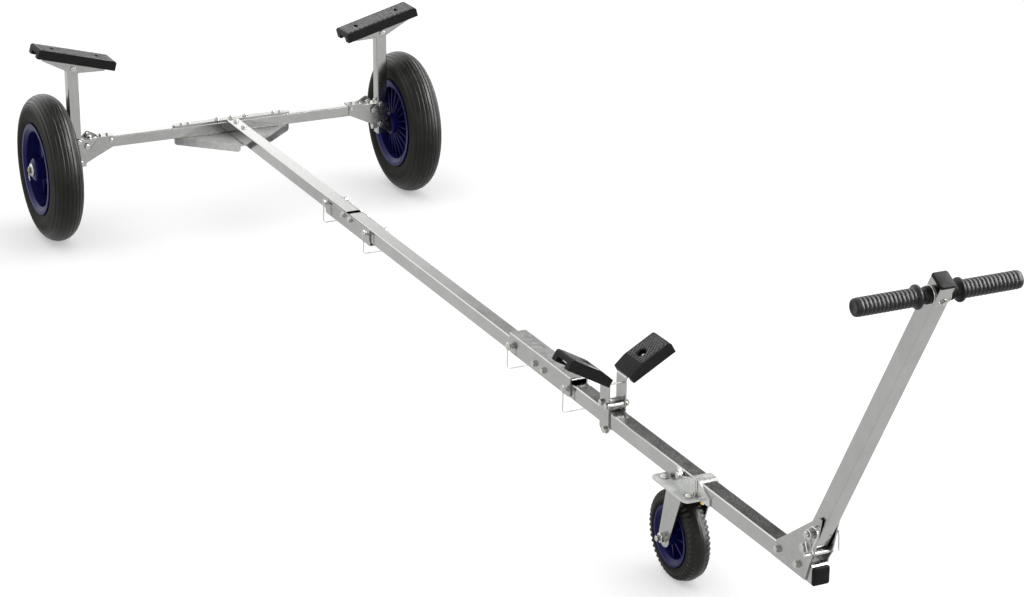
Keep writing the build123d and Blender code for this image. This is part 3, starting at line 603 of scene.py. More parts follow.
# %% Main tyre
def tyre_section(radius, half_width, lip, seat, bead, count):
    """Points and normals round a tyre's section in (radius, height), from one bead to the other.

    The crown is a half circle about (radius - half_width, 0). Each wall is an arc that starts
    along the radius and ends at the rim's lip, its radius being chord / (2 sin(chord's angle)).
    """
    crown = radius - half_width
    a = np.linspace(-pi / 2, pi / 2, count)
    arc = np.stack([crown + half_width * np.cos(a), half_width * np.sin(a)], axis=1)
    chord, lean = hypot(crown - lip, half_width - seat), atan2(half_width - seat, crown - lip)
    wall_radius = chord / (2 * sin(lean))
    b = np.linspace(0, 2 * lean, count // 4)[1:]
    wall = np.stack([crown - wall_radius * np.sin(b),
                     half_width - wall_radius + wall_radius * np.cos(b)], axis=1)
    section = np.concatenate([wall[::-1] * (1, -1), arc, wall])
    normal = np.concatenate([
        np.stack([-np.sin(b), -np.cos(b)], axis=1)[::-1],
        np.stack([np.cos(a), np.sin(a)], axis=1),
        np.stack([-np.sin(b), np.cos(b)], axis=1),
    ])
    foot = np.array([[bead, seat], [bead, -seat]])
    return section, normal, foot


def dip(x, centres, width):
    """A row of smooth dips one deep: the sum of exp(-((x - centre) / width)^4)."""
    return np.exp(-((x[..., None] - np.array(centres)) / width) ** 4).sum(axis=-1)


def ring_of(section, centre, side, steps, foot):
    """A section carried round the wheel's axis, closed both ways through its foot."""
    v = np.arange(steps) * tau / steps
    ring = np.concatenate([section, np.broadcast_to(foot[:, None], (2, steps, 2))])
    x = centre[0] + ring[..., 0] * np.cos(v)
    z = centre[2] + ring[..., 0] * np.sin(v)
    y = centre[1] + side * ring[..., 1]
    return skin(np.stack([x, y, z], axis=-1), wrap_u=True)


def main_tyre(side, name, grooves=9, pitch=11.5, groove_depth=2.0, ring_height=0.5, steps=168):
    """Height over the plain section = ring_height rings(radius) - groove_depth grooves(arc)."""
    centre = mid_of(f"tyre_{name}")
    radius, half = half_sizes(f"tyre_{name}")
    lip = half_sizes(f"rim_{name}")[0]
    seat, bead, wall_rings = 36, lip - 15.5, (132, 139, 146)
    section, normal, foot = tyre_section(radius, half, lip, seat, bead, count=145)
    along_crown = np.arctan2(section[:, 1], section[:, 0] - (radius - half)) * half
    on_crown = section[:, 0] > radius - half
    places = (np.arange(grooves) - grooves // 2) * pitch
    cut = dip(along_crown, places, 1.5) * on_crown
    rings = dip(section[:, 0], wall_rings, 0.9) * ~on_crown
    section = section + normal * (ring_height * rings - groove_depth * cut)[:, None]
    skins = [ring_of(np.repeat(section[:, None], steps, axis=1), centre, side, steps, foot)]
    tyre = solid(f"tread_tyre_{name}", f"wheel_{name}", tyre_rubber, skins,
                 crease=60)
    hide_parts(f"tyre_{name}")
    return tyre


main_tyres = [main_tyre(side, name) for side, name in SIDES]
print("tyres:", [len(tyre.data.polygons) for tyre in main_tyres], "faces")

# %% [markdown]
# ## Jockey tyre
# The front wheel wears a studded tyre: a smooth crown worn shiny, with a row of blocks round each
# shoulder that bite in soft ground. Around the wheel each block is a rounded pulse, along the
# section it is a smooth hump on the shoulder, and their product is pushed out along the normal.

# %% Jockey tyre
def jockey_tyre_piece(blocks=48, per_block=8, block_height=2.6, line_depth=0.35):
    """Height over the plain section = block_height pulse(angle) hump(shoulder) - line_depth lines.

    The lines are three fine ones round the crown, which the mould leaves.
    """
    centre = mid_of("jockey_tyre")
    radius, half = half_sizes("jockey_tyre")
    lip = half_sizes("jockey_rim")[0]
    seat, bead = half - 7, lip - 9
    section, normal, foot = tyre_section(radius - 0.4, half - 1.2, lip, seat, bead, count=65)
    steps = blocks * per_block
    v = np.arange(steps) * tau / steps
    pulse = np.clip(1.6 * np.cos(v * blocks) + 0.6, 0, 1)
    lean = np.arctan2(section[:, 1], section[:, 0] - (radius - half))
    shoulder, mould_lines = 0.86, (-0.32, 0, 0.32)
    hump = dip(np.abs(lean), (shoulder,), 0.30)
    lines = line_depth * dip(lean, mould_lines, 0.04)
    grow = block_height * hump[:, None] * pulse[None, :] - lines[:, None]
    bumped = section[:, None] + normal[:, None] * grow[..., None]
    outer = np.minimum(bumped[..., 0], radius)
    sides = np.clip(bumped[..., 1], -half, half)
    skins = [ring_of(np.stack([outer, sides], axis=-1), centre, 1, steps, foot)]
    tyre = solid("studded_jockey_tyre", "jockey_wheel", jockey_rubber, skins,
                 crease=50)
    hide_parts("jockey_tyre")
    return tyre


jockey_tyre = jockey_tyre_piece()
print("jockey tyre:", len(jockey_tyre.data.polygons), "faces")

# %% [markdown]
# ## Hubs
# Each main wheel turns on a plain plastic bush, black, pressed into both ends of the hub. Outside,
# the axle ends in a bright cup washer, with a split pin through its yellow end and both legs bent
# down. The bush turns with the wheel, and the washer and the pin stay with the axle.

# %% Hub bushes, cup washers, axle ends and split pins
def hub_parts(side, name):
    """Four turned or bent pieces about the axle: bush, cup washer, axle end and split pin."""
    rim_low, rim_high = span(f"rim_{name}")
    inner = rim_low[1] if side > 0 else rim_high[1]
    shaft = span("stub_axles")[1][1]
    bore, height = 13.4, wheel_radius
    rows = [(-5, bore), (-5, 22), (-4, 23.5), (0, 24), (0, bore)]
    bush = turned(rows, (0, inner, height), (0, side, 0), steps=40, closed=True)
    solid(f"hub_bush_{name}", f"wheel_{name}", cap_plastic, [bush])
    washer_face = span("axle_washers")[1][1]
    tip = shaft - washer_face
    face = (0, side * washer_face, height)
    washer = turned([(-0.6, 0), (-0.6, 17.4), (0.2, 18.0), (1.4, 17.6), (2.6, 15.6), (3.2, 12.6),
                     (3.2, 10.4), (1.2, 9.6), (1.2, 0)], face, (0, side, 0), steps=36)
    end = turned([(1.0, 0), (1.0, 9.2), (tip - 1, 9.2, 8.6), (tip, 8.4), (tip, 6.8),
                  (tip + 2.2, 6.4), (tip + 2.8, 5.4), (tip + 2.8, 0)], face, (0, side, 0), steps=36)
    eye = side * (washer_face + tip + 0.6)
    bends = [[(x, eye, height + 8), (x, eye, height - 16), (x + lean, eye, height - z)]
             for x, lean, z in ((1.3, 5, 27), (-1.3, -2, 23))]
    legs = [rod(rounded(corners, 5), 1.2, ACROSS) for corners in bends]
    solid(f"axle_cup_{name}", "chassis", plated, [washer])
    solid(f"axle_end_{name}", "chassis", passivated, [end])
    solid(f"split_pin_{name}", "chassis", spring_wire, legs)


for side, name in SIDES:
    hub_parts(side, name)

# %% [markdown]
# ## Pads
# The bunks and the bow V carry moulded rubber pads. Their tops have a lattice of low diamonds
# inside a plain border, which stops a wet hull from sliding. Each rib of the lattice is a small
# flat-topped ridge, laid along a slanting line and clipped to the border's rectangle. The flat tops
# catch the light as a worn pad does, and the ribs and the border are coloured a lighter grey than
# the pad, a painted highlight. Ridges keep the frame's pad under them, with its holes, and they
# cost far less than a fine grid.

# %% Lattice on the pads
def clipped_lines(length, width, pitch, lean, gaps, samples=1601, shortest=6):
    """Where lines v cos(lean) - u sin(lean) = k pitch cross a rectangle, as start and end points.

    A line that passes through a gap (u, v, half length, half width) is cut in two round it, and
    bits of a few samples are left out.
    """
    pieces = []
    direction, reach = np.array((cos(lean), sin(lean))), length + width
    for k in range(-int(reach / pitch), int(reach / pitch) + 1):
        base = np.array((-sin(lean), cos(lean))) * k * pitch
        t = np.linspace(-reach, reach, samples)
        at = base + t[:, None] * direction
        inside = (np.abs(at[:, 0]) < length / 2) & (np.abs(at[:, 1]) < width / 2)
        for u, v, half_u, half_v in gaps:
            inside &= ((at[:, 0] - u) / half_u) ** 2 + ((at[:, 1] - v) / half_v) ** 2 > 1
        edges = np.flatnonzero(np.diff(inside.astype(int)))
        pieces += [(at[a + 1], at[b]) for a, b in zip(edges[::2], edges[1::2]) if b - a > shortest]
    return np.array(pieces)


def ridges(lines, width, height, at, u, w, crest=0.62, buried=0.2):
    """Each ridge is a line's two ends times a flat-topped section: two feet and a crest between.

    The crest takes up that share of the width, and the feet stand that deep in the pad.
    """
    u, w = np.array(u, float), np.array(w, float)
    n = np.cross(u, w)
    start, end = lines[:, 0], lines[:, 1]
    run = end - start
    run = run / np.linalg.norm(run, axis=1, keepdims=True)
    square = np.stack([-run[:, 1], run[:, 0]], axis=1) * width / 2
    across = np.array([-1, -crest, crest, 1])[None, :, None] * square[:, None]
    flat = np.concatenate([start[:, None] + across, end[:, None] + across], axis=1)
    rise = np.tile([-buried, height, height, -buried], 2)[None, :, None]
    points = np.array(at) + flat[..., :1] * u + flat[..., 1:] * w + rise * n
    first = np.arange(len(lines))[:, None] * 8
    sides = ((0, 4, 5, 1), (1, 5, 6, 2), (2, 6, 7, 3), (3, 7, 4, 0), (0, 1, 2, 3), (7, 6, 5, 4))
    return points.reshape(-1, 3), np.concatenate([first + np.array(f) for f in sides])


def border(length, width, strip, height, at, u, w):
    """A low frame round a pad's top: a rounded bead that follows a rectangle."""
    outline = rounded_rectangle(length - strip, width - strip, 4, steps=4)
    path = np.array(at) + outline[:, :1] * np.array(u) + outline[:, 1:] * np.array(w)
    n = np.cross(u, w)
    return rod(path, height, n, sides=8, closed=True)


def pad_lattice(node, body, rise, side, name, pitch, rib, gaps, length, width, inner):
    """A lattice on the top of a pad whose length rises outward by an angle.

    The ribs lean 0.62 radians either way, the second set a hair lower, so that no two tops lie in
    one plane. The border takes `bare` mm of length and width, and the inner end stays plain.
    """
    a = radians(rise)
    u = np.array((0, side * cos(a), sin(a)))
    w = np.array((-side, 0, 0))
    n = np.cross(u, w)
    level = level_points(node)
    top, along_u, along_w = (level @ n).max(), level @ u, level @ w
    middle_u, middle_w = (along_u.min() + along_u.max()) / 2, (along_w.min() + along_w.max()) / 2
    field = n * top + u * middle_u + w * middle_w + u * inner / 2
    bare, rib_lean = 14, 0.62
    lines = [clipped_lines(length - inner - bare, width - bare, pitch, lean, gaps)
             for lean in (rib_lean, -rib_lean)]
    skins = [ridges(line, rib, height, field, u, w) for line, height in zip(lines, (1.4, 1.35))]
    skins.append(border(length - inner - 6, width - 6, 4, 1.2, field, u, w))
    return solid(name, body, polished_rubber_painted_highlight, skins)


bunk_rise, bow_rise = 15.1, 29.5
for side, name in SIDES:
    slots = [(u, 0, 5.5, 10.5) for u in (-63, 63)]
    pad_lattice(f"bunk_pad_{name}", f"bunk_{name}", bunk_rise, side, name=f"bunk_lattice_{name}",
                pitch=8.4, rib=3.2, gaps=slots, length=210, width=80, inner=0)
    pad_lattice(f"bow_pad_{name}", "front_bar", bow_rise, side, name=f"bow_lattice_{name}",
                pitch=6.6, rib=2.6, gaps=[(-15, 0, 12.5, 12.5)], length=106, width=72, inner=30)

# %% [markdown]
# ## Grips and caps
# The grips are rubber sleeves with fourteen soft ridges, a rounded end and a wide collar towards
# the post. A profile of heights and radii holds all of that, with the ridges as a sine along the
# sleeve. Beside the post a small plastic stop and a bright ring keep them in place. The frame holds
# both grips as one node, which is hidden once the six pieces made here stand in its place.

# %% Grips
def grip_piece(side, name, ridges_on_it=14):
    """Radius along the sleeve = 15.2 + |sin|^0.7, which gives round ridges with sharp valleys."""
    x, _, z = mid_of("grips")
    reach = span("grips")[1][1]
    inner, collar = 39, 21
    sleeve = np.linspace(inner + 8, reach - 5, ridges_on_it * 8 + 1)
    wave = np.sin((sleeve - sleeve[0]) / (sleeve[-1] - sleeve[0]) * ridges_on_it * pi)
    rows = [(inner, 0), (inner, 11.2), (inner, collar - 1.5), (inner + 1, collar),
            (inner + 4, collar), (inner + 5, collar - 1.5), (inner + 6.5, 16.5)]
    rows += list(zip(sleeve, 15.2 + np.abs(wave) ** 0.7))
    rows += [(reach - 3, 15.6), (reach - 1.2, 14.6), (reach - 0.2, 12.4), (reach, 9.5),
             (reach - 0.8, 8.5), (reach - 0.8, 0)]
    centre_line = (x, 0, z)
    sleeve_skin = turned(rows, centre_line, (0, side, 0), steps=40)
    stop = turned([(17.5, 10.8), (17.5, 14.5), (18.5, 15.2), (24, 15.2), (26, 13.6), (27, 13.8),
                   (33, 13.8), (34, 13), (34, 10.8)], centre_line, (0, side, 0), steps=32,
                  closed=True)
    ring = turned([(15.2, 10.8), (15.2, 16.6), (16, 17.2), (17, 17.2), (17.5, 16.6), (17.5, 10.8)],
                  centre_line, (0, side, 0), steps=32, closed=True)
    solid(f"grip_{name}", "handle", grip_rubber, [sleeve_skin], crease=50)
    solid(f"grip_stop_{name}", "handle", cap_plastic, [stop])
    solid(f"grip_ring_{name}", "handle", plated, [ring])


for side, name in SIDES:
    grip_piece(side, name)
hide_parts("grips")

# %% [markdown]
# The open ends of the drawbar and the handle post are closed by polyethylene plugs. Each has a flat
# face whose edge is rounded in a quarter circle of 2 mm.

# %% Caps
def cap_piece(node, body, u, w, name, width, height, face):
    """A rounded plate, face mm thick, whose last 2 mm curve in; u x w points out of the tube."""
    u, w = np.array(u, float), np.array(w, float)
    n = np.cross(u, w)
    level = level_points(node)
    ranges = [((level @ d).min(), (level @ d).max()) for d in (u, w, n)]
    centre = u * sum(ranges[0]) / 2 + w * sum(ranges[1]) / 2 + n * ranges[2][0]
    outline = rounded_rectangle(width, height, 4.0, steps=6)
    plate = lofted(outline, cushion_edge(face, width, 2.0), centre, u, w)
    cap = solid(name, body, cap_plastic, [plate], crease=50)
    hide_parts(node)
    return cap


post_lean = radians(29)
post_back = (-cos(post_lean), 0, sin(post_lean))
cap_piece("drawbar_cap", "front_bar", ACROSS, UP, "drawbar_plug", width=36, height=36, face=5)
cap_piece("handle_cap", "handle", ACROSS, post_back, "post_plug", width=31, height=36, face=5)

# %% [markdown]
# ## Splice bolts and lock pins
# Each splice is a channel round the ends of two tubes. Two bolts are its hinges. Two pins lock it
# straight, and each pin has a wire bail that goes down, under the tube and up the other side, where
# it snaps over the pin's end. Each bail is one rounded path in a plane across the trolley.

# %% Splice bolts and pins
def splice_hardware(name):
    """Two through bolts, four turned pin ends, and two bails, each a rod along a rounded U."""
    body = f"{name}_splice"
    half = half_sizes(f"splice_channel_{name}")[1]
    bolt_low, bolt_high = span(f"splice_bolts_{name}")
    bolt_z = mid_of(f"splice_bolts_{name}")[2]
    bolts = [through_bolt((x, 0, bolt_z), ACROSS, M8, half, head=5.5, nut=6.5, tail=2)
             for x in (bolt_low[0] + 7, bolt_high[0] - 7)]
    hinge = solid(f"hinge_bolts_{name}", body, plated, bolts)
    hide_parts(f"splice_bolts_{name}")
    pin_low, pin_high = span(f"splice_pins_{name}")
    pin_z = mid_of(f"splice_pins_{name}")[2]
    depth, out = half - 3.2, half_sizes(f"splice_pins_{name}")[1]
    pins, bails = [], []
    for x in (pin_low[0] + 6, pin_high[0] - 6):
        for side in (1, -1):
            rows = [(depth, 0), (depth, 4), (half, 4), (half, 7.5), (half + 1.5, 7.5),
                    (half + 1.5, 5.2), (half + 5, 5.2), (half + 5, 6.4), (out - 2, 6.4),
                    (out - 0.6, 5.6), (out, 4), (out, 0)]
            pins.append(turned(rows, (x, 0, pin_z), (0, side, 0), steps=20))
        far, foot = half + 10, pin_z - 53
        corners = [(x, -far, pin_z + 2), (x, -far - 1, foot), (x, far + 1, foot),
                   (x, far, pin_z + 8)]
        bails.append(rod(rounded(corners, 9), 1.5, FORWARD))
        bails.append(ring_wire((x, -far, pin_z), ACROSS, 8.2, 1.4))
    pin = solid(f"lock_pins_{name}", body, plated, pins)
    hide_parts(f"splice_pins_{name}")
    solid(f"pin_bails_{name}", body, spring_wire, bails)


splice_hardware("rear")
splice_hardware("front")

# %% [markdown]
# ## Bolts of the rear frame
# The plate over the cross beam is bolted down in three places at its middle and two towards each
# end, and two more bolts hold the drawbar to the gusset. Those that pass the gusset end in nuts
# under it. Heads and nuts stand on their own washers, so each is one turned profile.

# %% Beam plate and gusset bolts
def beam_bolts():
    """Turned heads on the plate and the drawbar, and turned nuts under the gusset."""
    top, bar_top = span("beam_plate")[1][2], span("drawbar_rear")[1][2]
    gusset_face = span("gusset_plate")[1][2] - 4
    heads = [cap_nut((0, y, top), UP, M8, height=6.0) for y in (-41, 0, 41)]
    heads += [cap_nut((0, y, top), UP, M6, height=4.6) for y in (-144, -124, 124, 144)]
    heads += [cap_nut((x, 0, bar_top), UP, M8, height=6.0) for x in (40, 100)]
    heads += [cap_nut((x, y, gusset_face), DOWN, M8, height=6.4)
              for x, y in ((0, -41), (0, 0), (0, 41), (40, 0), (100, 0), (0, -124), (0, 124))]
    return solid("beam_bolts", "chassis", plated, heads)


beam_bolt_piece = beam_bolts()
print("beam bolts:", len(beam_bolt_piece.data.polygons), "faces")

# %% [markdown]
# Each hub bracket is held by one bolt through the beam, one large one beside the post, and two
# through the post's foot, the lower one locking the stub axle. They go through both cheeks, and
# two small screws and a nut hold the bracket's top.

# %% Hub bracket bolts
def hub_bolts(side, name):
    """Four through bolts across the bracket, placed from the post, and three heads on top."""
    half = half_sizes(f"hub_bracket_{name}")[0]
    beam_top = span("axle_beam_left")[1][2]
    post_middle = abs(mid_of(f"post_{name}")[1])
    across = [through_bolt((0, side * (post_middle - 96), beam_top - 9), BACK, M6, half),
              through_bolt((0, side * (post_middle - 28), beam_top - 19), BACK, M8, half),
              through_bolt((0, side * (post_middle - 8), wheel_radius + 7), BACK, M8, half),
              through_bolt((0, side * (post_middle - 6), wheel_radius + 66), BACK, M8, half)]
    top = [cap_nut((0, side * (post_middle - y), beam_top + 3), UP, M6, height=4.6)
           for y in (72, 92)]
    top += [cap_nut((0, side * (post_middle - 40), beam_top), UP, M8, height=6.0)]
    return solid(f"hub_bolts_{name}", "chassis", plated, across + top)


hub_bolt_pieces = [hub_bolts(side, name) for side, name in SIDES]
print("hub bolts:", [piece.name for piece in hub_bolt_pieces])

# %% [markdown]
# The bunks tilt on one bolt each, through the top of the post and both cheeks of the bracket.

# %% Bunk pivots
def bunk_bolts():
    """One through bolt on each side, along x."""
    shank = span("bunk_pivots")[1][0] - 5
    z, y = mid_of("bunk_pivots")[2], mid_of("post_left")[1]
    bolts = [through_bolt((0, side * y, z), BACK, M8, shank, head=4.2, nut=5.0, tail=1.5)
             for side in (1, -1)]
    piece = solid("bunk_hinge_bolts", "chassis", plated, bolts)
    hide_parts("bunk_pivots")
    return piece


bunk_bolt_piece = bunk_bolts()
print("bunk bolts:", len(bunk_bolt_piece.data.polygons), "faces")

# %% [markdown]
# ## Bow V fasteners
# Two cross bolts hold the straps of the V apart above the drawbar, one of them in a bright spacer
# tube, and one clamps them under it. A thin stay ties the straps just below the pads.

# %% Bow V bolts
def bow_hardware():
    """Three through bolts along y, a turned spacer tube, and a straight rod for the stay."""
    leg_out = 20.5
    bolt_low, bolt_high = span("bow_bolts")
    middle_x = mid_of("bow_strap_left")[0]
    upper, lower = bolt_high[2] - 7, bolt_low[2] + 6.5
    places = [(middle_x - 10, upper), (middle_x + 14, upper), (middle_x + 6, lower)]
    bolts = [through_bolt((x, 0, z), ACROSS, M8, leg_out, head=4.5, nut=5.5, tail=2)
             for x, z in places]
    spacer = turned([(-17.5, 4.2), (-17.5, 6.6), (-17, 7), (17, 7), (17.5, 6.6), (17.5, 4.2)],
                    (middle_x - 10, 0, upper), ACROSS, steps=24, closed=True)
    stay = rod([(middle_x + 10, y, upper + 46) for y in (-17.6, -6, 6, 17.6)], 2.2, FORWARD)
    piece = solid("bow_v_bolts", "front_bar", plated, bolts + [spacer, stay])
    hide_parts("bow_bolts")
    return piece


bow_piece = bow_hardware()
print("bow V bolts:", len(bow_piece.data.polygons), "faces")

# %% [markdown]
# Each bow pad is screwed to its strap through the round hole in its middle. The screw's bright dome
# fills the bottom of the hole. The dome is a quarter ellipse turned round the pad's own normal.

# %% Bow pad screws
def pad_screw(side, name):
    """A washer, then a dome whose height goes as sin t and whose radius goes as cos t."""
    a = radians(bow_rise)
    u, n = np.array((0, side * cos(a), sin(a))), np.array((0, -side * sin(a), cos(a)))
    level = level_points(f"bow_pad_{name}")
    along, top = level @ u, (level @ n).max()
    strap_x = mid_of(f"bow_strap_{name}")[0]
    base = u * (along.min() + along.max()) / 2 + n * (top - 13) + np.array((strap_x, 0, 0))
    t = np.linspace(0, pi / 2, 9)
    rows = [(-0.5, 0), (-0.5, 9.6), (0.8, 9.6), (0.8, 8.6)]
    rows += list(zip(0.8 + 7.5 * np.sin(t), 8.6 * np.cos(t)))
    screw = turned(rows, base, n)
    return solid(f"bow_pad_screw_{name}", "front_bar", plated, [screw])


pad_screws = [pad_screw(side, name) for side, name in SIDES]
print("pad screws:", [piece.name for piece in pad_screws])

# %% [markdown]
# The front channel lies upside down over its tubes, and both its ends are rolled down a little, so
# that they don't cut the hands. The roll is a thin rod along each end of the web.

# %% Rolled ends of the front channel
def rolled_ends():
    """A rod across each end of the channel, just under its web."""
    low, high = span("splice_channel_front")
    half = half_sizes("splice_channel_front")[1] - 4
    ends = [rod([(x, y, high[2] - 4.8) for y in (-half, 0, half)], 2.0, FORWARD, sides=12)
            for x in (low[0] + 1, high[0] - 1)]
    return solid("channel_rolled_ends", "front_splice", galvanised, ends)


rolled = rolled_ends()
print("rolled ends:", len(rolled.data.polygons), "faces")

# %% [markdown]
# ## Castor
# The castor's plate hangs from the drawbar on four dome-headed bolts, two each side. A strap, the
# saddle, goes over the drawbar and is held by a quick pin whose ring and hook lie on the drawbar's
# side, so the wheel comes off for storage. The fork's axle is one long bolt. A brass grease nipple
# sits at the plate's front.

# %% Castor hardware
def dome_head(at, axis, radius, height):
    """A pan head on a thin washer: radius falls as a quarter ellipse over the height."""
    a = np.linspace(0, pi / 2, 7)
    rows = [(-1, 0), (-1, radius + 3), (1.2, radius + 3), (1.2, radius)]
    rows += list(zip(1.2 + height * np.sin(a), radius * np.cos(a)))
    return turned(rows, at, axis)


def castor_hardware():
    """Domes and nuts on the plate, the clamp's pin with its ring and wires, the wheel's bolt."""
    high, middle_x = span("castor_plate")[1], mid_of("castor_plate")[0]
    plate_top, plate_bottom = high[2], high[2] - 7
    places = [(middle_x + x, y) for x in (-52, 49) for y in (-29, 29)]
    heads = [dome_head((x, y, plate_top), UP, radius=9, height=5) for x, y in places]
    nuts = [cap_nut((x, y, plate_bottom), DOWN, M8, height=6.0) for x, y in places]
    solid("castor_plate_bolts", "front_bar", plated, heads + nuts)
    bar_low, bar_high = span("drawbar_front")
    side, top = bar_low[1] - 4, bar_high[2]
    pin_x = middle_x + 2
    pin = turned([(-2, 0), (-2, 4.5), (5, 4.5), (5, 6.5), (10, 6.5), (11, 5.5), (11, 0)],
                 (pin_x, side, top - 10), (0, -1, 0), steps=20)
    loop = ring_wire((pin_x + 3, side - 6, top - 4), (0.15, 1, 0), 9, 1.6)
    hook = rod(rounded([(pin_x - 8, side - 5, top + 4), (pin_x + 6, side - 5, top - 10),
                        (pin_x + 24, side - 5, top - 6), (pin_x + 34, side - 5, top - 2)], 8),
               1.7, ACROSS)
    upright = rod([(middle_x + 60, side - 2, z) for z in (top + 1, top - 14, top - 34)], 1.2,
                  ACROSS)
    solid("saddle_pin", "front_bar", plated, [pin])
    solid("saddle_pin_ring", "front_bar", spring_wire, [loop, hook, upright])
    nipple = turned([(-4, 0), (-4, 5.6, 4.9), (1, 5.6, 4.9), (2, 4.2), (4, 3.2), (6, 3.2), (7, 2.2),
                     (7, 0)], (high[0] - 1, -12, plate_bottom + 1), (0.5, -0.3, -1))
    solid("grease_nipple", "front_bar", brass, [nipple])
    half = half_sizes("castor_axle")[1] - 5
    x, _, z = mid_of("castor_axle")
    axle_bolt = through_bolt((x, 0, z), (0, -1, 0), M12, half, head=6, nut=8, tail=8)
    piece = solid("castor_axle_bolt", "castor", plated, [axle_bolt])
    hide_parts("castor_axle")


castor_hardware()

# %% [markdown]
# ## Handle foot
# The two side plates are bolted through the drawbar. The handle turns on the pivot bolt and is held
# up by a quick pin through plates and post, whose ring and wires hang on the plates. A bright cross
# rod stops the post, and a low arched saddle lies on the end of the drawbar under it.

# %% Handle foot hardware
def foot_hardware():
    """Bolts and pin ends are turned, and wires are rods along rounded paths.

    px and pz are the place of the pivot, lx and lz of the lock pin, sx and sz of the stop.
    """
    plate_out = abs(span("handle_foot_right")[0][1])
    bar_bottom = span("drawbar_front")[0][2]
    px, _, pz = mid_of("handle_pivot")
    bolts = [through_bolt((px + x, 0, bar_bottom + 24), ACROSS, M8, plate_out, head=5.5, nut=6,
                          tail=2) for x in (-91, -21)]
    solid("foot_bolts", "front_bar", plated, bolts)
    pivot = through_bolt((px, 0, pz), ACROSS, M10, plate_out, head=5.5, nut=6, tail=2)
    bosses = [turned([(15.3, 5.2), (15.3, 8), (17.5, 8), (17.5, 5.2)], (px, 0, pz), (0, side, 0),
                     closed=True) for side in (1, -1)]
    hinge = solid("handle_hinge_bolt", "front_bar", plated, [pivot] + bosses)
    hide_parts("handle_pivot")
    lx, _, lz = mid_of("handle_lock_pins")
    out = half_sizes("handle_lock_pins")[1]
    rows = [(plate_out - 3, 0), (plate_out - 3, 4), (plate_out, 4), (plate_out, 7),
            (plate_out + 1.5, 7), (plate_out + 1.5, 5), (out - 2, 5), (out - 2, 6.4),
            (out - 0.5, 5.8), (out, 4.5), (out, 0)]
    ends = [turned(rows, (lx, 0, lz), (0, side, 0), steps=20) for side in (1, -1)]
    pins = solid("handle_pin_ends", "front_bar", plated, ends)
    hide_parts("handle_lock_pins")
    near, far = -plate_out - 6, plate_out + 6
    leg = rounded([(lx - 3, near, lz + 9), (lx - 10, near, lz - 3), (lx - 8, near, lz - 20),
                   (lx + 1, near, lz - 37)], 4)
    hook = rounded([(lx, near, lz + 8), (lx + 12, near, lz + 21), (lx + 29, near, lz + 20),
                    (lx + 33, near, lz + 10), (lx + 20, near, lz - 12), (lx + 15, near, lz - 22),
                    (lx + 19, near, lz - 32)], 5)
    clip = rounded([(lx + 2, far, lz + 9), (lx + 17, far, lz + 8), (lx + 19, far, lz - 8),
                    (lx + 21, far, lz - 34)], 4)
    wire = 1.4
    wires = [rod(path, wire, ACROSS) for path in (leg, hook, clip)]
    wires += [ring_wire((lx, near, lz), ACROSS, 8.5, wire),
              ring_wire((lx + 8, far, lz + 5), ACROSS, 8, wire)]
    solid("handle_pin_wires", "front_bar", spring_wire, wires)
    sx, _, sz = mid_of("handle_stop")
    cross = turned([(-plate_out - 16, 0), (-plate_out - 16, 3), (-plate_out - 15, 4),
                    (plate_out + 4, 4), (plate_out + 5, 3), (plate_out + 5, 0)],
                   (sx + 2, 0, sz), ACROSS, steps=20)
    cross_rod = solid("handle_cross_rod", "front_bar", stainless, [cross])
    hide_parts("handle_stop")


def drawbar_saddle(rise=6.5, thick=1.6):
    """Height over the drawbar = rise x sin(pi t)^0.8, t from ahead of the pivot to the bar's end."""
    bar_high, start = span("drawbar_front")[1], mid_of("handle_pivot")[0] + 4
    t = np.linspace(0, 1, 17)
    reach = bar_high[0] - 1 - start
    arch = np.stack([start + reach * t, bar_high[2] - 0.6 + rise * np.sin(pi * t) ** 0.8], axis=1)
    width = abs(span("handle_foot_right")[0][1]) - 4
    loop = np.concatenate([arch, arch[::-1] - (0, thick)])
    y = np.array([-width, -width, width, width])
    scale = np.array([0.0, 1.0, 1.0, 0.0])[:, None, None]
    middle_point = loop.mean(axis=0)
    ring = middle_point + (loop - middle_point) * scale
    across = np.broadcast_to(y[:, None], ring.shape[:2])
    points = np.stack([ring[..., 0], across, ring[..., 1]], axis=-1)
    solid("drawbar_saddle", "front_bar", galvanised, [skin(points)], crease=40)


foot_hardware()
drawbar_saddle()

# %% [markdown]
# One screw goes through the front of the post into the handlebar, with a plain hole beside it.

# %% Post screw
def post_screw():
    """A turned washer and head on the post's front face, and the turned rim of a plain hole."""
    x, _, z = mid_of("handle_bar")
    front = np.array((cos(post_lean), 0, -sin(post_lean)))
    up = np.array((sin(post_lean), 0, cos(post_lean)))
    face = np.array((x, 0, z)) + front * 17.5
    screw = turned([(-1, 0), (-1, 6.4), (0.5, 6.6), (0.6, 4.9, 4.4), (3.6, 4.9, 4.4), (4.2, 3.4),
                    (4.2, 0)], face - up * 4 + np.array((0, 4, 0)), front, steps=24)
    rim = turned([(-0.4, 2.2), (-0.4, 3.6), (0.35, 3.4), (0.35, 2.2)],
                 face - up * 6 + np.array((0, -6, 0)), front, steps=20, closed=True)
    return solid("post_screw", "handle", plated, [screw, rim])


screw_piece = post_screw()
print("post screw:", len(screw_piece.data.polygons), "faces")

# %% [markdown]
# ## Floor and light
# The trolley stands on a white studio floor. A large soft lamp hangs above, a long one stands to
# the left, and a small one fills from the right. Mirror rays see a room: white low down and behind,
# with a dark screen on the left behind the trolley, a side in front that is bright at its foot and
# dim above, and a bright strip along the left wall, which draws the streaks on the tyres. Metal
# shows that room, which makes its faces read as white, grey and dark. The floor adds a little light
# of its own to camera and mirror rays, so that it is white and keeps its shadow.

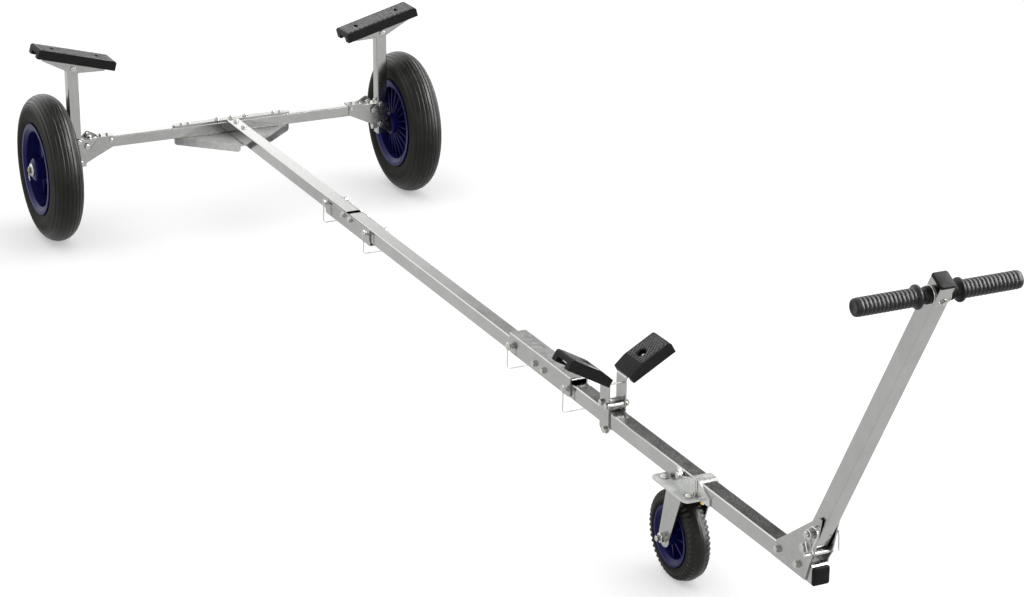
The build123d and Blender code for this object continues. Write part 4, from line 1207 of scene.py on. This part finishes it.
# %% Floor
def make_floor(size=60, glow=0.36):
    """One square on z = 0, white to the eye and in the metal's reflections."""
    half = size / 2
    mesh = bpy.data.meshes.new("floor")
    corners = [(-half, -half, 0), (half, -half, 0), (half, half, 0), (-half, half, 0)]
    mesh.from_pydata(corners, [], [(0, 1, 2, 3)])
    piece = bpy.data.objects.new("floor", mesh)
    bpy.context.collection.objects.link(piece)
    material, tree, shader, _ = new_material("white studio floor")
    path = add_node(tree, "ShaderNodeLightPath")
    seen = add_node(tree, "ShaderNodeMath", {"operation": "MAXIMUM"},
                    _0=path.outputs["Is Camera Ray"], _1=path.outputs["Is Glossy Ray"])
    any_seen = add_node(tree, "ShaderNodeMath", {"operation": "MAXIMUM"}, _0=seen.outputs[0],
                        _1=path.outputs["Is Transmission Ray"])
    light = add_node(tree, "ShaderNodeMath", {"operation": "MULTIPLY"}, _0=any_seen.outputs[0],
                     _1=glow)
    plug(tree, shader, Base_Color=linear("#EBEBEB"), Roughness=0.9, Specular_IOR_Level=0.0,
         Emission_Color=(1, 1, 1, 1), Emission_Strength=light.outputs[0])
    mesh.materials.append(material)
    return piece


floor = make_floor()
print("floor:", floor.name)

# %% World and lamps
def make_world(mirror_level=2.4, plain_level=0.64):
    """White to the camera, the room to mirror rays, and a plain grey room to all others.

    Heights are the z of a direction. The room is open_side where a direction points back, screen
    where it also points left, and front where it points forward, with soft steps between them.
    A bright strip runs along the left wall near z = 0.64, turns down it near x = 0.51, and fades
    towards the back: max(z - 0.14, x - 0.01) is near 0.5 on it. It draws the tyres' streaks.
    """
    world = bpy.data.worlds.new("studio")
    bpy.context.scene.world = world
    world.use_nodes = True
    tree = world.node_tree
    tree.nodes.clear()
    path = add_node(tree, "ShaderNodeLightPath")
    direction = add_node(tree, "ShaderNodeTexCoord").outputs["Generated"]
    x, y, z = add_node(tree, "ShaderNodeSeparateXYZ", Vector=direction).outputs
    open_side = add_node(tree, "ShaderNodeValToRGB", {"stops": [
        (0.0, 1.0), (0.45, 1.0), (0.62, 0.8), (0.80, 0.45), (1.0, 0.4)]}, Fac=z)
    screen = add_node(tree, "ShaderNodeValToRGB", {"stops": [
        (0.0, 0.35), (0.10, 0.35), (0.19, 1.0), (0.32, 1.0), (0.352, 0.30), (0.385, 0.05),
        (0.60, 0.04), (0.78, 0.4), (1.0, 0.4)]}, Fac=z)
    to_left = add_node(tree, "ShaderNodeMapRange", Value=y, From_Min=0.20, From_Max=0.32)
    to_front = add_node(tree, "ShaderNodeMapRange", Value=x, From_Min=-0.35, From_Max=0.15)
    back = add_node(tree, "ShaderNodeMix", FLOAT, _0=to_left.outputs[0],
                    _2=open_side.outputs[0], _3=screen.outputs[0])
    front = add_node(tree, "ShaderNodeValToRGB", {"stops": [
        (0.0, 0.9), (0.28, 0.9), (0.38, 0.28), (1.0, 0.28)]}, Fac=z)
    room = add_node(tree, "ShaderNodeMix", FLOAT, _0=to_front.outputs[0],
                    _2=back.outputs[0], _3=front.outputs[0])
    over = add_node(tree, "ShaderNodeMath", {"operation": "SUBTRACT"}, _0=z, _1=0.14)
    ahead = add_node(tree, "ShaderNodeMath", {"operation": "SUBTRACT"}, _0=x, _1=0.01)
    bend = add_node(tree, "ShaderNodeMath", {"operation": "MAXIMUM"}, _0=over.outputs[0],
                    _1=ahead.outputs[0])
    pane = add_node(tree, "ShaderNodeValToRGB", {"stops": [
        (0.37, 0.0), (0.41, 1.0), (0.59, 1.0), (0.66, 0.0)]}, Fac=bend.outputs[0])
    beside = add_node(tree, "ShaderNodeMapRange", Value=y, From_Min=0.34, From_Max=0.44)
    strip = add_node(tree, "ShaderNodeMath", {"operation": "MULTIPLY"}, _0=pane.outputs[0],
                     _1=beside.outputs[0])
    faded = add_node(tree, "ShaderNodeMapRange", Value=x, From_Min=-0.7, From_Max=0.3, To_Min=1.0,
                     To_Max=13.0)
    bright = add_node(tree, "ShaderNodeMath", {"operation": "MULTIPLY_ADD"}, _0=strip.outputs[0],
                      _1=faded.outputs[0], _2=room.outputs[0])
    level = add_node(tree, "ShaderNodeMath", {"operation": "MULTIPLY"}, _0=bright.outputs[0],
                     _1=mirror_level)
    mirrored = add_node(tree, "ShaderNodeBackground", Color=(1, 1, 1, 1), Strength=level.outputs[0])
    plain = add_node(tree, "ShaderNodeBackground", Color=(1, 1, 1, 1), Strength=plain_level)
    white = add_node(tree, "ShaderNodeBackground", Color=(1, 1, 1, 1), Strength=1.0)
    lit = add_node(tree, "ShaderNodeMixShader", _0=path.outputs["Is Glossy Ray"],
                   _1=plain.outputs[0], _2=mirrored.outputs[0])
    eye = add_node(tree, "ShaderNodeMixShader", _0=path.outputs["Is Camera Ray"], _1=lit.outputs[0],
                   _2=white.outputs[0])
    add_node(tree, "ShaderNodeOutputWorld", Surface=eye.outputs[0])


def make_lamp(name, place, aim, size, power):
    """A rectangular soft lamp at a place, facing a point."""
    data = bpy.data.lights.new(name, "AREA")
    data.shape = "RECTANGLE"
    data.size, data.size_y = size
    data.energy = power
    lamp = bpy.data.objects.new(name, data)
    lamp.location = place
    lamp.rotation_euler = (Vector(aim) - Vector(place)).to_track_quat("-Z", "Y").to_euler()
    bpy.context.collection.objects.link(lamp)
    return lamp


make_world()
lamps = [
    make_lamp("overhead", (-0.5, 0, 4.5), (-0.5, 0, 0), (7, 5), 60),
    make_lamp("long left", (0.6, 4.2, 3.2), (0.2, 0, 0.3), (6.5, 1.1), 35),
    make_lamp("right fill", (4.0, -4.5, 2.6), (0, 0, 0.3), (3, 2), 20),
]
bpy.context.scene.view_settings.view_transform = "Standard"
print("lamps:", [lamp.name for lamp in lamps])
